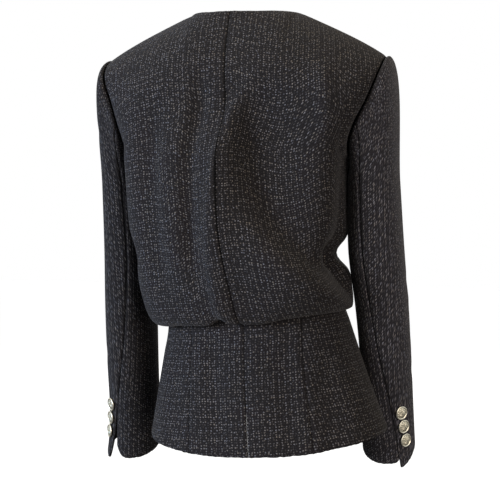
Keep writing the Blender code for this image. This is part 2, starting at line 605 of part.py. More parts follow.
def cloth(name, surface, columns, rows, inside, shade, collection, shoulder=math.inf):
    """A panel of cloth: a grid laid on the outer points, extruded to the inner ones."""
    outer, inner = wall_points(surface, columns, rows, np.array(inside), shoulder)
    bm = bmesh.new()
    bmesh.ops.create_grid(bm, x_segments=len(columns) - 1, y_segments=len(rows) - 1, size=1.0)
    column_of, row_of = bm.verts.layers.int.new("column"), bm.verts.layers.int.new("row")
    for vert in bm.verts:
        vert[column_of] = round((vert.co.x + 1) / 2 * (len(columns) - 1))
        vert[row_of] = round((vert.co.y + 1) / 2 * (len(rows) - 1))
        vert.co = outer[vert[column_of], vert[row_of]]
    wall = bmesh.ops.extrude_face_region(bm, geom=bm.faces[:], use_keep_orig=True)
    for vert in wall["geom"]:
        if isinstance(vert, bmesh.types.BMVert):
            vert.co = inner[vert[column_of], vert[row_of]]
    bmesh.ops.recalc_face_normals(bm, faces=bm.faces[:])
    return add_object(name, bm, shade, collection)


def button(name, seat, normal, shade, collection):
    """A domed metal button with a raised rim, turned about the cloth's normal."""
    radius = BUTTON_DIAMETER / 2
    bm = bmesh.new()
    verts = [bm.verts.new((share * radius, 0.0, z)) for share, z in BUTTON_PROFILE]
    for first, second in zip(verts, verts[1:]):
        bm.edges.new((first, second))
    section = bm.verts[:] + bm.edges[:]
    bmesh.ops.spin(bm, geom=section, axis=(0, 0, 1), angle=2 * math.pi, steps=BUTTON_STEPS)
    bmesh.ops.remove_doubles(bm, verts=bm.verts[:], dist=MERGE_DISTANCE)
    bmesh.ops.recalc_face_normals(bm, faces=bm.faces[:])
    turn = Vector((0, 0, 1)).rotation_difference(normal).to_matrix()
    bmesh.ops.transform(bm, matrix=turn.to_4x4(), verts=bm.verts[:])
    bmesh.ops.translate(bm, vec=seat + normal * SEAM_GAP, verts=bm.verts[:])
    return add_object(name, bm, shade, collection)


def add_bodice(tweed, collection):
    for hand, side in ((LEFT, "left"), (RIGHT, "right")):
        for face, part, columns in ((BACK, "back", BACK_COLUMNS), (FRONT, "front", FRONT_COLUMNS)):

            def surface(across, rise, face=face, hand=hand):
                return bodice(face, hand, across, rise)

            inside = (0, 0, BODICE_RINGS[UNDERARM_ROW].height)
            cloth(f"{part}_{side}", surface, columns, BODICE_ROWS, inside, tweed, collection, NECK_COLUMN)


def add_peplum(tweed, collection):
    centre_back, centre_front = (0.0, 0.0), (180.0, 180.0)
    parts = (
        ("back", centre_back, PEPLUM_BACK_SEAM),
        ("side", PEPLUM_BACK_SEAM, PEPLUM_FRONT_SEAM),
        ("front", PEPLUM_FRONT_SEAM, centre_front),
    )
    for hand, side in ((LEFT, "left"), (RIGHT, "right")):
        for part, first, last in parts:

            def surface(across, fall, hand=hand, first=first, last=last):
                start, end = blend(first[0], first[1], fall), blend(last[0], last[1], fall)
                angle = np.clip(blend(start, end, across), LEAST_ANGLE, 180 - LEAST_ANGLE)
                return peplum(hand * angle, fall)

            count = round((last[0] - first[0]) / PEPLUM_COLUMN_ANGLE)
            columns = np.linspace(0, 1, count + 1)
            inside = (0, 0, PEPLUM_RINGS[1].height)
            cloth(f"peplum_{part}_{side}", surface, columns, PEPLUM_ROWS, inside, tweed, collection)


def add_sleeves(tweed, collection):
    for hand, side in ((LEFT, "left"), (RIGHT, "right")):
        for upper, part, columns in ((True, "upper", UPPER_COLUMNS), (False, "under", UNDER_COLUMNS)):

            def surface(across, reach, hand=hand, upper=upper):
                return sleeve_panel(hand, upper, across, reach)

            middle = ARM_RINGS[2]
            inside = (hand * middle.out, -middle.forward, middle.height)
            cloth(f"{part}_sleeve_{side}", surface, columns, SLEEVE_ROWS, inside, tweed, collection)


def add_buttons(silver, collection):
    radius = BUTTON_DIAMETER / 2
    for hand, side in ((LEFT, "left"), (RIGHT, "right")):
        for number in range(BUTTON_COUNT):
            rise = BUTTON_RISE + (BUTTON_COUNT - 1 - number) * BUTTON_SPACING
            behind, before = (vent_point(hand, BUTTON_SETBACK + s * radius, rise) for s in (-1, 1))
            above, below = (vent_point(hand, BUTTON_SETBACK, rise + s * radius) for s in (1, -1))
            normal = Vector(np.cross(above - below, before - behind) * hand).normalized()
            seat = Vector(vent_point(hand, BUTTON_SETBACK, rise))
            button(f"button_{side}_{number + 1}", seat, normal, silver, collection)


def build():
    for old in list(bpy.data.objects):
        bpy.data.objects.remove(old, do_unlink=True)
    collection = bpy.data.collections.new("tweed_jacket")
    bpy.context.scene.collection.children.link(collection)
    tweed, silver = material(*TWEED), material(*SILVER)
    add_bodice(tweed, collection)
    add_peplum(tweed, collection)
    add_sleeves(tweed, collection)
    add_buttons(silver, collection)


build()
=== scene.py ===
import math
from collections import namedtuple
from functools import partial

import bpy
import numpy as np
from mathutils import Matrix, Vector


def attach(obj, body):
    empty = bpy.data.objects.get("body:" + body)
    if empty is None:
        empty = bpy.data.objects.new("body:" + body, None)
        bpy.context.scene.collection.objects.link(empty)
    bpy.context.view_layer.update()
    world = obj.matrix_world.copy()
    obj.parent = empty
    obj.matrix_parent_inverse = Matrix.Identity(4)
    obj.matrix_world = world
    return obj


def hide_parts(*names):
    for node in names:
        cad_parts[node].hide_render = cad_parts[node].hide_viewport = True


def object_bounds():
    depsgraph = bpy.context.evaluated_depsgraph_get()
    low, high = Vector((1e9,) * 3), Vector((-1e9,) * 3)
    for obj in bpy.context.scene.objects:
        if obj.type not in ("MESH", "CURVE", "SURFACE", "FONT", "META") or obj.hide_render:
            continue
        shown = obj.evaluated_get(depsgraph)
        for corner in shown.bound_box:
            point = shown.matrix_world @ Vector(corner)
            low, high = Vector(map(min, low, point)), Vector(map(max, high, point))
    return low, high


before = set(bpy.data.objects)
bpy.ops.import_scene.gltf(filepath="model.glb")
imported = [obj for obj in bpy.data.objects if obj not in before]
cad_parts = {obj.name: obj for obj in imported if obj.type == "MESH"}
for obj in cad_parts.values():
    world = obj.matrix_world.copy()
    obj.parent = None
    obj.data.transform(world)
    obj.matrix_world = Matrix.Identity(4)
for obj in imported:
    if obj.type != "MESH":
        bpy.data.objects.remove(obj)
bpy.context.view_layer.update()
print("frame loaded:", len(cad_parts), "nodes")

left, right = 1, -1  # sign of X on the wearer's left and right
back, front = 1, -1  # sign of Y behind and before
sideNames = {left: "left", right: "right"}
rowSamples, arcSamples, hemSamples = 300, 400, 200  # points along the curves that are measured

ring = namedtuple("ring", "height halfWidth back front backCorner frontCorner sway drift lean droop")
arm = namedtuple("arm", "height out forward halfWidth halfDepth corner tilt seam give")
point = namedtuple("point", "x height")
fold = namedtuple("fold", "line leftWidth rightWidth power depth")  # power 2 is a soft bell, 1 a sharp crease
dent = namedtuple("dent", "angle height lowSpread highSpread heightSpread depth")
gather = namedtuple("gather", "x width drop")
crease = namedtuple("crease", "across height acrossSpread heightSpread slant depth")

yokeCut = {
    "neckHalfWidth": 0.074,
    "napeDepth": 0.058,
    "napeDrop": 0.0045,
    "throatDepth": 0.084,
    "throatDrop": 0.080,
    "neckCurve": 0.75,
    "neckColumn": 0.40,
    "halfWidth": 0.1975,
    "slope": 0.455,
    "sag": 0.0010,
    "endDrop": 0.0085,
    "neckSoftness": 0.010,  # width over which the neck edge turns into the shoulder seam
    "roundDrop": 0.110,
    "throatShare": 0.60,
    "neckRound": 1.0,
    "endRound": 1.8,
    "throatSwell": 1.15,
    "endSwell": 2.0,
    "armholeDepth": 0.58,
    "endDepth": 0.90,
    "armholeTurn": 0.40,
}

bodiceCut = {
    "rings": (
        ring(-0.419, 0.124, 0.098, 0.096, 2.2, 2.1, -0.012, -0.005, 0.100, 0.0),
        ring(-0.425, 0.136, 0.110, 0.107, 2.3, 2.1, -0.012, -0.007, 0.100, 1.0),
        ring(-0.413, 0.146, 0.121, 0.116, 2.4, 2.1, -0.007, -0.008, 0.085, 0.8),
        ring(-0.378, 0.151, 0.127, 0.123, 2.7, 2.1, -0.002, -0.007, 0.050, 0.3),
        ring(-0.305, 0.154, 0.126, 0.127, 3.3, 2.2, 0.005, -0.002, 0.015, 0.0),
        ring(-0.207, 0.156, 0.121, 0.127, 4.2, 2.4, 0.007, 0.0, 0.0, 0.0),
        ring(-0.140, 0.173, 0.117, 0.114, 3.8, 2.6, 0.002, 0.0, -0.006, 0.0),
        ring(-0.070, 0.196, 0.108, 0.096, 2.8, 2.7, 0.0, 0.006, -0.012, 0.0),
        ring(0.020, 0.200, 0.090, 0.075, 2.7, 2.7, 0.0, 0.012, -0.012, 0.0),
    ),
    "rightSquareness": 1.6,  # the arm draws the right half of the back flatter
    "underarmRow": 5,
    "firstRisingRow": 2,
    "backOverhang": 0.006,
    "sideOverhang": 0.004,
    "foldMargin": 0.14,
    "foldTaper": 0.28,
    "foldEdge": 0.2,
    "foldStep": 0.002,  # height over which a fold's slant is taken
    "foldRise": 4,  # the folds set in over a quarter of the lower rows
    "foldTop": 3,
    "meshSize": (0.21, 0.47),
    "backFolds": (
        fold(
            ((-0.036, -0.085), (-0.040, -0.185), (-0.068, -0.272),
             (-0.140, -0.362), (-0.210, -0.438), (-0.270, -0.500)),
            0.028, 0.075, 1.3, -0.026,
        ),
        fold(
            ((-0.020, -0.120), (-0.010, -0.205), (-0.031, -0.302), (-0.103, -0.392), (-0.170, -0.450)),
            0.075, 0.034, 2.0, 0.021,
        ),
        fold(
            ((-0.044, -0.055), (-0.033, -0.107), (-0.013, -0.146),
             (-0.004, -0.185), (0.009, -0.280), (0.029, -0.500)),
            0.009, 0.022, 2.0, 0.011,
        ),
        fold(((0.034, -0.065), (0.037, -0.200), (0.045, -0.400)), 0.012, 0.012, 2.0, -0.010),
        fold(((0.068, -0.120), (0.072, -0.260), (0.070, -0.430)), 0.020, 0.020, 2.0, 0.003),
        fold(((0.100, -0.110), (0.099, -0.260), (0.095, -0.420)), 0.018, 0.018, 2.0, -0.009),
        fold(((-0.120, -0.060), (-0.132, -0.120), (-0.140, -0.200)), 0.014, 0.014, 2.0, 0.005),
    ),
    "frontFolds": (
        fold(((0.118, -0.110), (0.088, -0.240), (0.052, -0.420)), 0.026, 0.026, 2.0, -0.008),
        fold(((0.060, -0.160), (0.048, -0.290), (0.026, -0.430)), 0.016, 0.016, 2.0, 0.005),
        fold(((-0.030, -0.150), (-0.034, -0.270), (-0.042, -0.420)), 0.014, 0.014, 2.0, -0.005),
        fold(((-0.085, -0.170), (-0.078, -0.280), (-0.068, -0.440)), 0.020, 0.020, 2.0, 0.005),
        fold(((-0.128, -0.100), (-0.112, -0.200), (-0.098, -0.340)), 0.018, 0.018, 2.0, -0.004),
    ),
    "gathers": (
        gather(0.028, 0.010, -0.008),
        gather(-0.024, 0.020, 0.003),
        gather(-0.090, 0.022, -0.002),
        gather(0.080, 0.020, -0.001),
    ),
    "dents": (
        dent(-90.0, -0.343, 40.0, 24.0, 0.021, 0.029),
        dent(90.0, -0.335, 30.0, 30.0, 0.022, 0.010),
        dent(150.0, -0.360, 22.0, 22.0, 0.050, 0.004),
        dent(-148.0, -0.345, 20.0, 20.0, 0.055, 0.004),
    ),
}

peplumCut = {
    "rings": (
        ring(-0.445, 0.130, 0.102, 0.099, 2.2, 2.0, -0.016, -0.005, 0.095, 0.0),
        ring(-0.475, 0.138, 0.111, 0.106, 2.25, 2.0, -0.019, -0.004, 0.085, 0.0),
        ring(-0.532, 0.153, 0.126, 0.117, 2.3, 1.95, -0.026, -0.003, 0.065, 0.0),
        ring(-0.589, 0.169, 0.140, 0.126, 2.35, 1.9, -0.034, -0.002, 0.045, 0.0),
    ),
    "hemBackDrop": 0.015,
    "waistInset": 0.0003,
    "folds": (
        fold(((0.034, -0.435), (0.038, -0.500), (0.040, -0.620)), 0.014, 0.014, 2.0, -0.004),
        fold(((-0.050, -0.445), (-0.056, -0.500), (-0.064, -0.640)), 0.018, 0.018, 2.0, -0.004),
        fold(((-0.098, -0.470), (-0.106, -0.530), (-0.118, -0.660)), 0.020, 0.020, 2.0, -0.005),
        fold(((0.096, -0.440), (0.102, -0.500), (0.110, -0.630)), 0.018, 0.018, 2.0, -0.003),
    ),
    "backSeam": (37.0, 27.0),  # degrees from centre back, at the waist and the hem
    "frontSeam": (112.0, 116.0),
    "foldTurn": 4,
    "foldFall": 3,
    "middle": (0, 0, -0.5),
    "meshLength": 0.18,
    "meshPerDegree": 0.0022,
    "meshMargin": 0.01,
    "turnLimits": (0.01, 179.99),  # degrees, just short of centre back and centre front
    "grainStart": {"back": 0.0, "side": 0.5, "front": 1.0},
}

sleeveCut = {
    "rings": (
        arm(-0.240, 0.1790, 0.014, 0.0342, 0.064, 2.6, 5.0, 105.0, 0.0120),
        arm(-0.330, 0.1800, 0.028, 0.0377, 0.059, 2.6, 9.0, 102.0, 0.0110),
        arm(-0.415, 0.1868, 0.041, 0.0365, 0.055, 2.4, 10.0, 99.0, 0.0040),
        arm(-0.495, 0.1910, 0.053, 0.0360, 0.050, 2.2, 12.0, 88.0, 0.0),
        arm(-0.560, 0.1920, 0.063, 0.0370, 0.046, 2.0, 15.0, 70.0, 0.0),
        arm(-0.635, 0.1935, 0.0735, 0.0380, 0.043, 2.0, 24.0, 57.0, 0.0),
    ),
    "armRaise": 0.0040,
    "armholeSeam": 112.0,
    "innerSeam": 235.0,
    "capPull": 0.38,
    "capEndPull": 0.95,
    "capStand": 0.0010,
    "capEndStep": 0.1,
    "capLift": 0.20,
    "underarmLift": 1.40,
    "clearance": 0.0012,
    "pressSoftness": 0.004,
    "pressReach": 1.35,
    "pressCorner": 2.4,
    "pressFade": 0.030,
    "elbowRow": 2,
    "meshLength": 0.56,
    "meshWidth": {"upper": 0.19, "under": 0.15},
}

ventCut = {
    "length": 0.076,
    "upperOpening": {left: 0.005, right: 0.0},  # the left vent gapes
    "underOpening": {left: 0.001, right: 0.0},
    "openingWidth": 0.050,
    "flare": {left: 0.010, right: 0.0},
    "upperCorner": {left: 0.007, right: 0.004},
    "underCorner": {left: 0.021, right: 0.006},
    "tongueDrop": {left: 0.0055, right: 0.0090},
    "tongueWidth": 0.045,
    "cornerRound": 0.95,
    "hemFade": 5,  # power with which the hem's outline fades upwards
}

clothMake = {
    "thickness": 0.0017,
    "seamGap": 0.000004,  # sewn edges all but touch
    "waistGap": 0.0003,
    "step": 0.0036,  # size of the mesh's squares
    "quickStep": 0.008,
    "edgeOffsets": (0.0, 0.0006, 0.0014, 0.0026, 0.0042),
    "seamDip": 0.0014,
    "seamWidth": 0.0024,
    "slopeShare": 1e-3,  # share of a panel over which its slopes are taken
    "leastSine": 0.3,
    "sharpAngle": 55,
    "mitreFrom": 0.45,
    "mitreFade": 0.25,
    "mitreReach": 0.004,
    "creaseMargin": 0.02,
    "pressedSeam": 0.0007,  # the peplum's seams are pressed flat, so the painted shade beside them is kept faint
    "rawEdge": 0.0010,  # unevenness of the open edges
    "rawReach": 0.006,
}

# small creases in shares of a panel's width and rows, as they lie in the worn cloth
clothCreases = {
    "back_left": (
        crease(0.86, 1.12, 0.10, 0.050, 0.35, -0.0014),
        crease(0.80, 1.23, 0.09, 0.045, 0.45, 0.0009),
        crease(0.13, 0.24, 0.022, 0.13, 0.0, -0.0010),
        crease(0.31, 0.20, 0.018, 0.09, 0.0, -0.0007),
        crease(0.52, 0.27, 0.026, 0.15, 0.0, -0.0011),
        crease(0.74, 0.22, 0.020, 0.11, 0.0, -0.0008),
    ),
    "back_right": (
        crease(0.88, 1.10, 0.10, 0.050, 0.40, -0.0011),
        crease(0.79, 1.30, 0.08, 0.060, 0.50, 0.0008),
        crease(0.19, 0.21, 0.020, 0.10, 0.0, -0.0008),
        crease(0.40, 0.26, 0.025, 0.14, 0.0, -0.0010),
        crease(0.63, 0.20, 0.018, 0.10, 0.0, -0.0007),
    ),
    "front_left": (
        crease(0.84, 1.08, 0.11, 0.050, 0.40, -0.0013),
        crease(0.70, 1.20, 0.09, 0.045, 0.45, 0.0008),
        crease(0.22, 0.24, 0.022, 0.12, 0.0, -0.0010),
        crease(0.47, 0.21, 0.020, 0.10, 0.0, -0.0008),
        crease(0.66, 0.26, 0.025, 0.14, 0.0, -0.0010),
    ),
    "front_right": (
        crease(0.87, 1.12, 0.10, 0.055, 0.35, -0.0012),
        crease(0.16, 0.22, 0.020, 0.11, 0.0, -0.0008),
        crease(0.38, 0.26, 0.024, 0.14, 0.0, -0.0011),
        crease(0.60, 0.20, 0.018, 0.09, 0.0, -0.0007),
    ),
    "peplum_back_left": (crease(0.58, 0.45, 0.14, 0.40, 0.0, -0.0018),),
    "peplum_back_right": (
        crease(0.70, 0.30, 0.13, 0.32, 0.0, -0.0018),
        crease(0.12, 0.5, 0.10, 0.40, 0.0, 0.0010),
    ),
    "peplum_side_left": (
        crease(0.35, 0.40, 0.06, 0.35, 0.1, -0.0012),
        crease(0.62, 0.55, 0.08, 0.40, 0.0, -0.0010),
    ),
    "peplum_side_right": (
        crease(0.20, 0.72, 0.08, 0.30, 0.0, -0.0016),
        crease(0.55, 0.45, 0.07, 0.35, 0.1, -0.0010),
    ),
    "peplum_front_left": (crease(0.40, 0.50, 0.10, 0.40, 0.0, -0.0012),),
    "peplum_front_right": (crease(0.48, 0.42, 0.09, 0.35, 0.0, -0.0012),),
    "upper_sleeve_left": (
        crease(0.28, 1.27, 0.20, 0.020, 0.12, -0.0012),
        crease(0.35, 1.36, 0.17, 0.016, -0.09, 0.0008),
        crease(0.26, 1.45, 0.22, 0.022, 0.07, -0.0013),
        crease(0.66, 1.58, 0.15, 0.028, -0.15, -0.0008),
        crease(0.72, 0.60, 0.12, 0.060, 0.40, -0.0010),
    ),
    "upper_sleeve_right": (
        crease(0.31, 1.30, 0.22, 0.021, 0.10, -0.0013),
        crease(0.38, 1.39, 0.16, 0.015, -0.08, 0.0008),
        crease(0.27, 1.49, 0.20, 0.020, 0.06, -0.0010),
        crease(0.61, 1.64, 0.17, 0.030, -0.14, -0.0009),
        crease(0.75, 0.52, 0.12, 0.050, 0.35, -0.0011),
    ),
    "under_sleeve_left": (
        crease(0.20, 1.33, 0.14, 0.018, 0.10, -0.0010),
        crease(0.24, 1.44, 0.15, 0.022, -0.1, -0.0012),
    ),
    "under_sleeve_right": (
        crease(0.22, 1.30, 0.15, 0.020, 0.10, -0.0011),
        crease(0.18, 1.41, 0.13, 0.018, -0.1, -0.0010),
    ),
}


# shape of the cloth, worked out from the cut

def blend(low, high, share):
    return low + (high - low) * share


def ease(share):
    share = np.clip(share, 0.0, 1.0)
    return share * share * (3 - 2 * share)


def hermite(start, startPull, end, endPull, share):
    square, cube = share**2, share**3
    return (
        start * (2 * cube - 3 * square + 1)
        + startPull * (cube - 2 * square + share)
        + end * (3 * square - 2 * cube)
        + endPull * (cube - square)
    )


def along(rows, position):
    table = np.array(rows)
    slopes = np.gradient(table, axis=0)
    position = np.clip(position, 0, len(table) - 1)
    first = np.minimum(np.floor(position).astype(int), len(table) - 2)
    share = (position - first)[..., None]
    values = hermite(table[first], slopes[first], table[first + 1], slopes[first + 1], share)
    return type(rows[0])(*np.moveaxis(values, -1, 0))


def rowAtHeight(rows, height, first=0):
    positions = np.linspace(first, len(rows) - 1, rowSamples)
    heights = along(rows, positions).height
    order = np.argsort(heights)
    return np.interp(height, heights[order], positions[order])


def evenAngles(across, level):
    angles = np.linspace(0, math.pi / 2, arcSamples)
    power = 2 / level.backCorner
    x = level.halfWidth * np.sin(angles) ** power
    y = level.back * np.cos(angles) ** power
    lengths = np.concatenate([[0], np.cumsum(np.hypot(np.diff(x), np.diff(y)))])
    return np.interp(across, lengths / lengths[-1], angles)


def neckDrop(face, x):
    drop = yokeCut["napeDrop"] if face == back else yokeCut["throatDrop"]
    share = np.clip(x / yokeCut["neckHalfWidth"], 0, 1)
    return -drop * (1 - share**2) ** yokeCut["neckCurve"]


def topHeight(face, x):
    neck = yokeCut["neckHalfWidth"]
    run = np.clip((x - neck) / (yokeCut["halfWidth"] - neck), 0, 1)
    fall = yokeCut["slope"] * (x - neck + np.hypot(x - neck, yokeCut["neckSoftness"])) / 2
    fall = fall + yokeCut["endDrop"] * run**4 + 4 * yokeCut["sag"] * run * (1 - run)
    return neckDrop(face, x) - fall


def topDepth(face, x):
    depth = yokeCut["napeDepth"] if face == back else yokeCut["throatDepth"]
    return depth * (1 - np.clip(x / yokeCut["neckHalfWidth"], 0, 1) ** 2) ** yokeCut["neckCurve"]


def shoulderColumns(across):
    column = yokeCut["neckColumn"]
    neck = yokeCut["neckHalfWidth"] * np.sin(np.minimum(across / column, 1) * math.pi / 2)
    beyond = np.maximum(across - column, 0) / (1 - column)
    return neck + (yokeCut["halfWidth"] - yokeCut["neckHalfWidth"]) * beyond


def armholeDepth(yoke):
    turned = 1 - np.clip(yoke / yokeCut["armholeTurn"], 0, 1)
    return blend(yokeCut["armholeDepth"] * np.sqrt(1 - turned**2), yokeCut["endDepth"], ease(2 * yoke - 1))


def innerWidth(level, hand):
    return level.halfWidth - np.where(hand == left, level.give, 0.0)


def armSide(hand, y, height):  # the sleeve's side towards the body
    level = along(sleeveCut["rings"], rowAtHeight(sleeveCut["rings"], height))
    reach = sleeveCut["pressReach"] * (level.halfDepth + sleeveCut["clearance"])
    offset = (y + level.forward) / reach
    width = innerWidth(level, hand) + sleeveCut["clearance"]
    return level.out - width * (1 - np.abs(offset) ** sleeveCut["pressCorner"])


def foldDepth(folds, x, z):
    depth = np.zeros_like(x)
    taper, edge, step = (bodiceCut[name] for name in ("foldTaper", "foldEdge", "foldStep"))
    for one in folds:
        points = tuple(point(*pair) for pair in one.line)
        line, above = (along(points, rowAtHeight(points, height)).x for height in (z, z + step))
        aside = (x - line) / np.hypot(1, (above - line) / step)
        aside = aside / np.where(aside > 0, one.leftWidth, one.rightWidth)
        share = (z - points[0].height) / (points[-1].height - points[0].height)
        ends = ease(share / taper) * ease((1 - share) / taper)
        depth += one.depth * ends * np.exp(edge**one.power - (aside**2 + edge**2) ** (one.power / 2))
    return depth


def dentDepth(angle, z):
    depth = np.zeros_like(angle)
    for one in bodiceCut["dents"]:
        turn = (np.degrees(angle) - one.angle + 180) % 360 - 180
        aside = turn / np.where(turn > 0, one.highSpread, one.lowSpread)
        depth += one.depth * np.exp(-(aside**2) - ((z - one.height) / one.heightSpread) ** 2)
    return depth


def gatherDrop(x):
    return sum(one.drop * np.exp(-(((x - one.x) / one.width) ** 2)) for one in bodiceCut["gathers"])


def settle(level, hand, x, y, z, lift):
    across = x / level.halfWidth**2
    behind = y / np.where(y > 0, level.back, level.front) ** 2
    length = np.hypot(across, behind)
    x = x + lift * across / length
    y = y + lift * behind / length
    side = x + hand * level.sway
    soft = sleeveCut["pressSoftness"]
    pressed = -soft * np.logaddexp(-side / soft, -armSide(hand, y, z) / soft)
    underarm = bodiceCut["rings"][bodiceCut["underarmRow"]]
    side = blend(side, np.minimum(side, pressed), ease((underarm.height - z) / sleeveCut["pressFade"]))
    return np.stack([hand * side, y, z - level.lean * hand * side], axis=-1)


def bodice(face, hand, across, rise):
    rings = bodiceCut["rings"]
    underarm = rings[bodiceCut["underarmRow"]]
    angle = evenAngles(across, underarm)
    turn = hand * (angle if face == back else math.pi - angle)

    # below the underarm
    level = along(rings, np.minimum(rise, 1) * bodiceCut["underarmRow"])
    squarer = blend(1.0, bodiceCut["rightSquareness"], ease(rise)) if face == back and hand == right else 1.0
    power = 2 / (squarer * (level.backCorner if face == back else level.frontCorner))
    lowX = level.halfWidth * np.sin(angle) ** power
    lowY = (level.back if face == back else level.front) * np.cos(angle) ** power
    overhang = blend(bodiceCut["sideOverhang"], bodiceCut["backOverhang"], np.cos(angle) ** 2)
    lowZ = level.height - level.droop * (overhang + gatherDrop(face * hand * lowX))

    # above it
    yoke = np.clip(rise - 1, 0, 1)
    topX = shoulderColumns(across)
    highZ = blend(underarm.height, topHeight(face, topX), yoke)
    highLevel = along(rings, rowAtHeight(rings, highZ, bodiceCut["firstRisingRow"]))
    depth = highLevel.back if face == back else highLevel.front
    corner = squarer * (highLevel.backCorner if face == back else highLevel.frontCorner)
    edgeX = blend(underarm.halfWidth, yokeCut["halfWidth"], ease(yoke))
    edgeShare = armholeDepth(yoke)
    rowShare = blend(edgeShare, 1, np.cos(angle) ** (2 / corner))
    lowShare = ((1 - rowShare**corner) / (1 - edgeShare**corner)) ** (1 / corner)
    xShare = blend(lowShare, topX / yokeCut["halfWidth"], ease(yoke))
    highX = edgeX * xShare
    fullY = depth * (1 - (1 - edgeShare**corner) * xShare**corner) ** (1 / corner)
    topY = topDepth(face, highX)
    roundDrop = yokeCut["roundDrop"]
    neck = yokeCut["neckHalfWidth"]
    if face == back:
        outwards = ease(highX / neck)
        swell = yokeCut["endSwell"]
    else:
        roundDrop = roundDrop + yokeCut["throatShare"] * neckDrop(face, highX)
        outwards = ease((highX - neck) / (yokeCut["halfWidth"] - neck))
        swell = blend(yokeCut["throatSwell"], yokeCut["endSwell"], outwards)
    belowTop = np.clip((topHeight(face, highX) - highZ) / roundDrop, 0, 1)
    roundness = blend(yokeCut["neckRound"], yokeCut["endRound"], outwards)
    highY = topY + (fullY - topY) * (1 - (1 - belowTop) ** swell) ** (1 / roundness)

    high = rise > 1
    x = np.where(high, highX, lowX)
    y = face * np.where(high, highY, lowY)
    z = np.where(high, highZ, lowZ)
    level = ring(*(np.where(high, upper, lower) for upper, lower in zip(highLevel, level)))
    folds = bodiceCut["backFolds" if face == back else "frontFolds"]
    margin = ease((1 - across) / bodiceCut["foldMargin"])
    lift = foldDepth(folds, hand * x, z) * margin - dentDepth(turn, z)
    if face == back:
        inwards = 1 - np.clip(across / yokeCut["neckColumn"], 0, 1) ** 2
        x = x + hand * level.drift * blend(np.cos(angle) ** 2, inwards**2, ease(yoke))
    lift = lift * ease(rise * bodiceCut["foldRise"]) * ease((2 - rise) * bodiceCut["foldTop"])
    return settle(level, hand, x, y, z, lift)


def peplum(angle, fall):
    waist = bodiceCut["rings"][0]
    inset = peplumCut["waistInset"]
    waist = waist._replace(
        height=waist.height - clothMake["waistGap"],
        halfWidth=waist.halfWidth - inset,
        back=waist.back - inset,
        front=waist.front - inset,
    )
    rings = (waist,) + peplumCut["rings"]
    level = along(rings, fall * (len(rings) - 1))
    sine, cosine = np.sin(np.radians(angle)), np.cos(np.radians(angle))
    power = 2 / np.where(cosine > 0, level.backCorner, level.frontCorner)
    hand = np.where(sine < 0, right, left)
    behind = np.maximum(cosine, 0) ** 2
    x = level.halfWidth * np.abs(sine) ** power + hand * level.drift * behind
    y = np.where(cosine > 0, level.back, -level.front) * np.abs(cosine) ** power
    z = level.height - peplumCut["hemBackDrop"] * fall**2 * behind
    behindOnly = ease(cosine * peplumCut["foldTurn"])
    lift = foldDepth(peplumCut["folds"], hand * x, z) * behindOnly * ease(fall * peplumCut["foldFall"])
    return settle(level, hand, x, y, z, lift)


def armhole(hand, angle):
    samples = 1 - np.linspace(1, 0, arcSamples) ** 3
    turn = np.mod(angle, 360.0)
    points = {}
    for face in (back, front):
        curve = bodice(face, hand, np.ones_like(samples), 2 - samples)
        steps = np.linalg.norm(np.diff(curve, axis=0), axis=1)
        lengths = np.concatenate([[0], np.cumsum(steps)])
        share = (turn if face == back else 360 - turn) / 180 * lengths[-1]
        points[face] = np.stack([np.interp(share, lengths, curve[:, i]) for i in range(3)], axis=-1)
    return np.where((turn <= 180)[..., None], points[back], points[front])


def armRing(hand, angle, position):
    level = along(sleeveCut["rings"], position)
    bend, turn = np.radians(level.tilt), np.radians(angle)
    sine, cosine = np.sin(turn), np.cos(turn)
    rear = level.halfDepth * np.sign(sine) * np.abs(sine) ** (2 / level.corner)
    width = np.where(cosine > 0, level.halfWidth, innerWidth(level, hand))
    side = width * np.sign(cosine) * np.abs(cosine) ** (2 / level.corner)
    raised = hand * sleeveCut["armRaise"] * (position / (len(sleeveCut["rings"]) - 1)) ** 2
    x = hand * (level.out + side)
    y = -level.forward + rear * np.cos(bend)
    z = level.height - rear * np.sin(bend) - raised
    return np.stack([x, y, z], axis=-1)


def unit(vectors):
    return vectors / np.linalg.norm(vectors, axis=-1, keepdims=True)


def ventFlare(hand, fromVent, reach):  # how far the button side of the vent stands off the wrist
    up = np.clip(1 - aboveHem(reach) / ventCut["length"], 0, 1)
    return ventCut["flare"][hand] * up**2 * np.clip(1 - fromVent / ventCut["openingWidth"], 0, 1)


def sleeve(hand, angle, reach, flare=0.0):
    outwards = np.array([hand, 0.0, 0.0])
    low = armRing(hand, angle, np.clip(reach - 1, 0, 1) * (len(sleeveCut["rings"]) - 1))
    end = armRing(hand, angle, np.zeros_like(reach))
    endPull = unit(armRing(hand, angle, np.full_like(reach, sleeveCut["capEndStep"])) - end)
    start = armhole(hand, angle)
    away = start - (armhole(hand, np.zeros(1)) + armhole(hand, np.full(1, 180.0))) / 2
    away[..., 0] = 0
    away = unit(away)
    below = np.sin(np.radians(angle) / 2) ** 4
    lift = blend(sleeveCut["capLift"], sleeveCut["underarmLift"], below)
    startPull = unit(outwards + lift[..., None] * away)
    start = start + sleeveCut["capStand"] * (away + outwards)
    span = np.linalg.norm(end - start, axis=-1, keepdims=True)
    share = np.clip(reach, 0, 1)[..., None]
    startPull, endPull = sleeveCut["capPull"] * span * startPull, sleeveCut["capEndPull"] * span * endPull
    turn = np.radians(angle)
    low = low + np.stack([hand * flare * np.cos(turn), flare * np.sin(turn), 0 * turn], axis=-1)
    return np.where((reach > 1)[..., None], low, hermite(start, startPull, end, endPull, share))


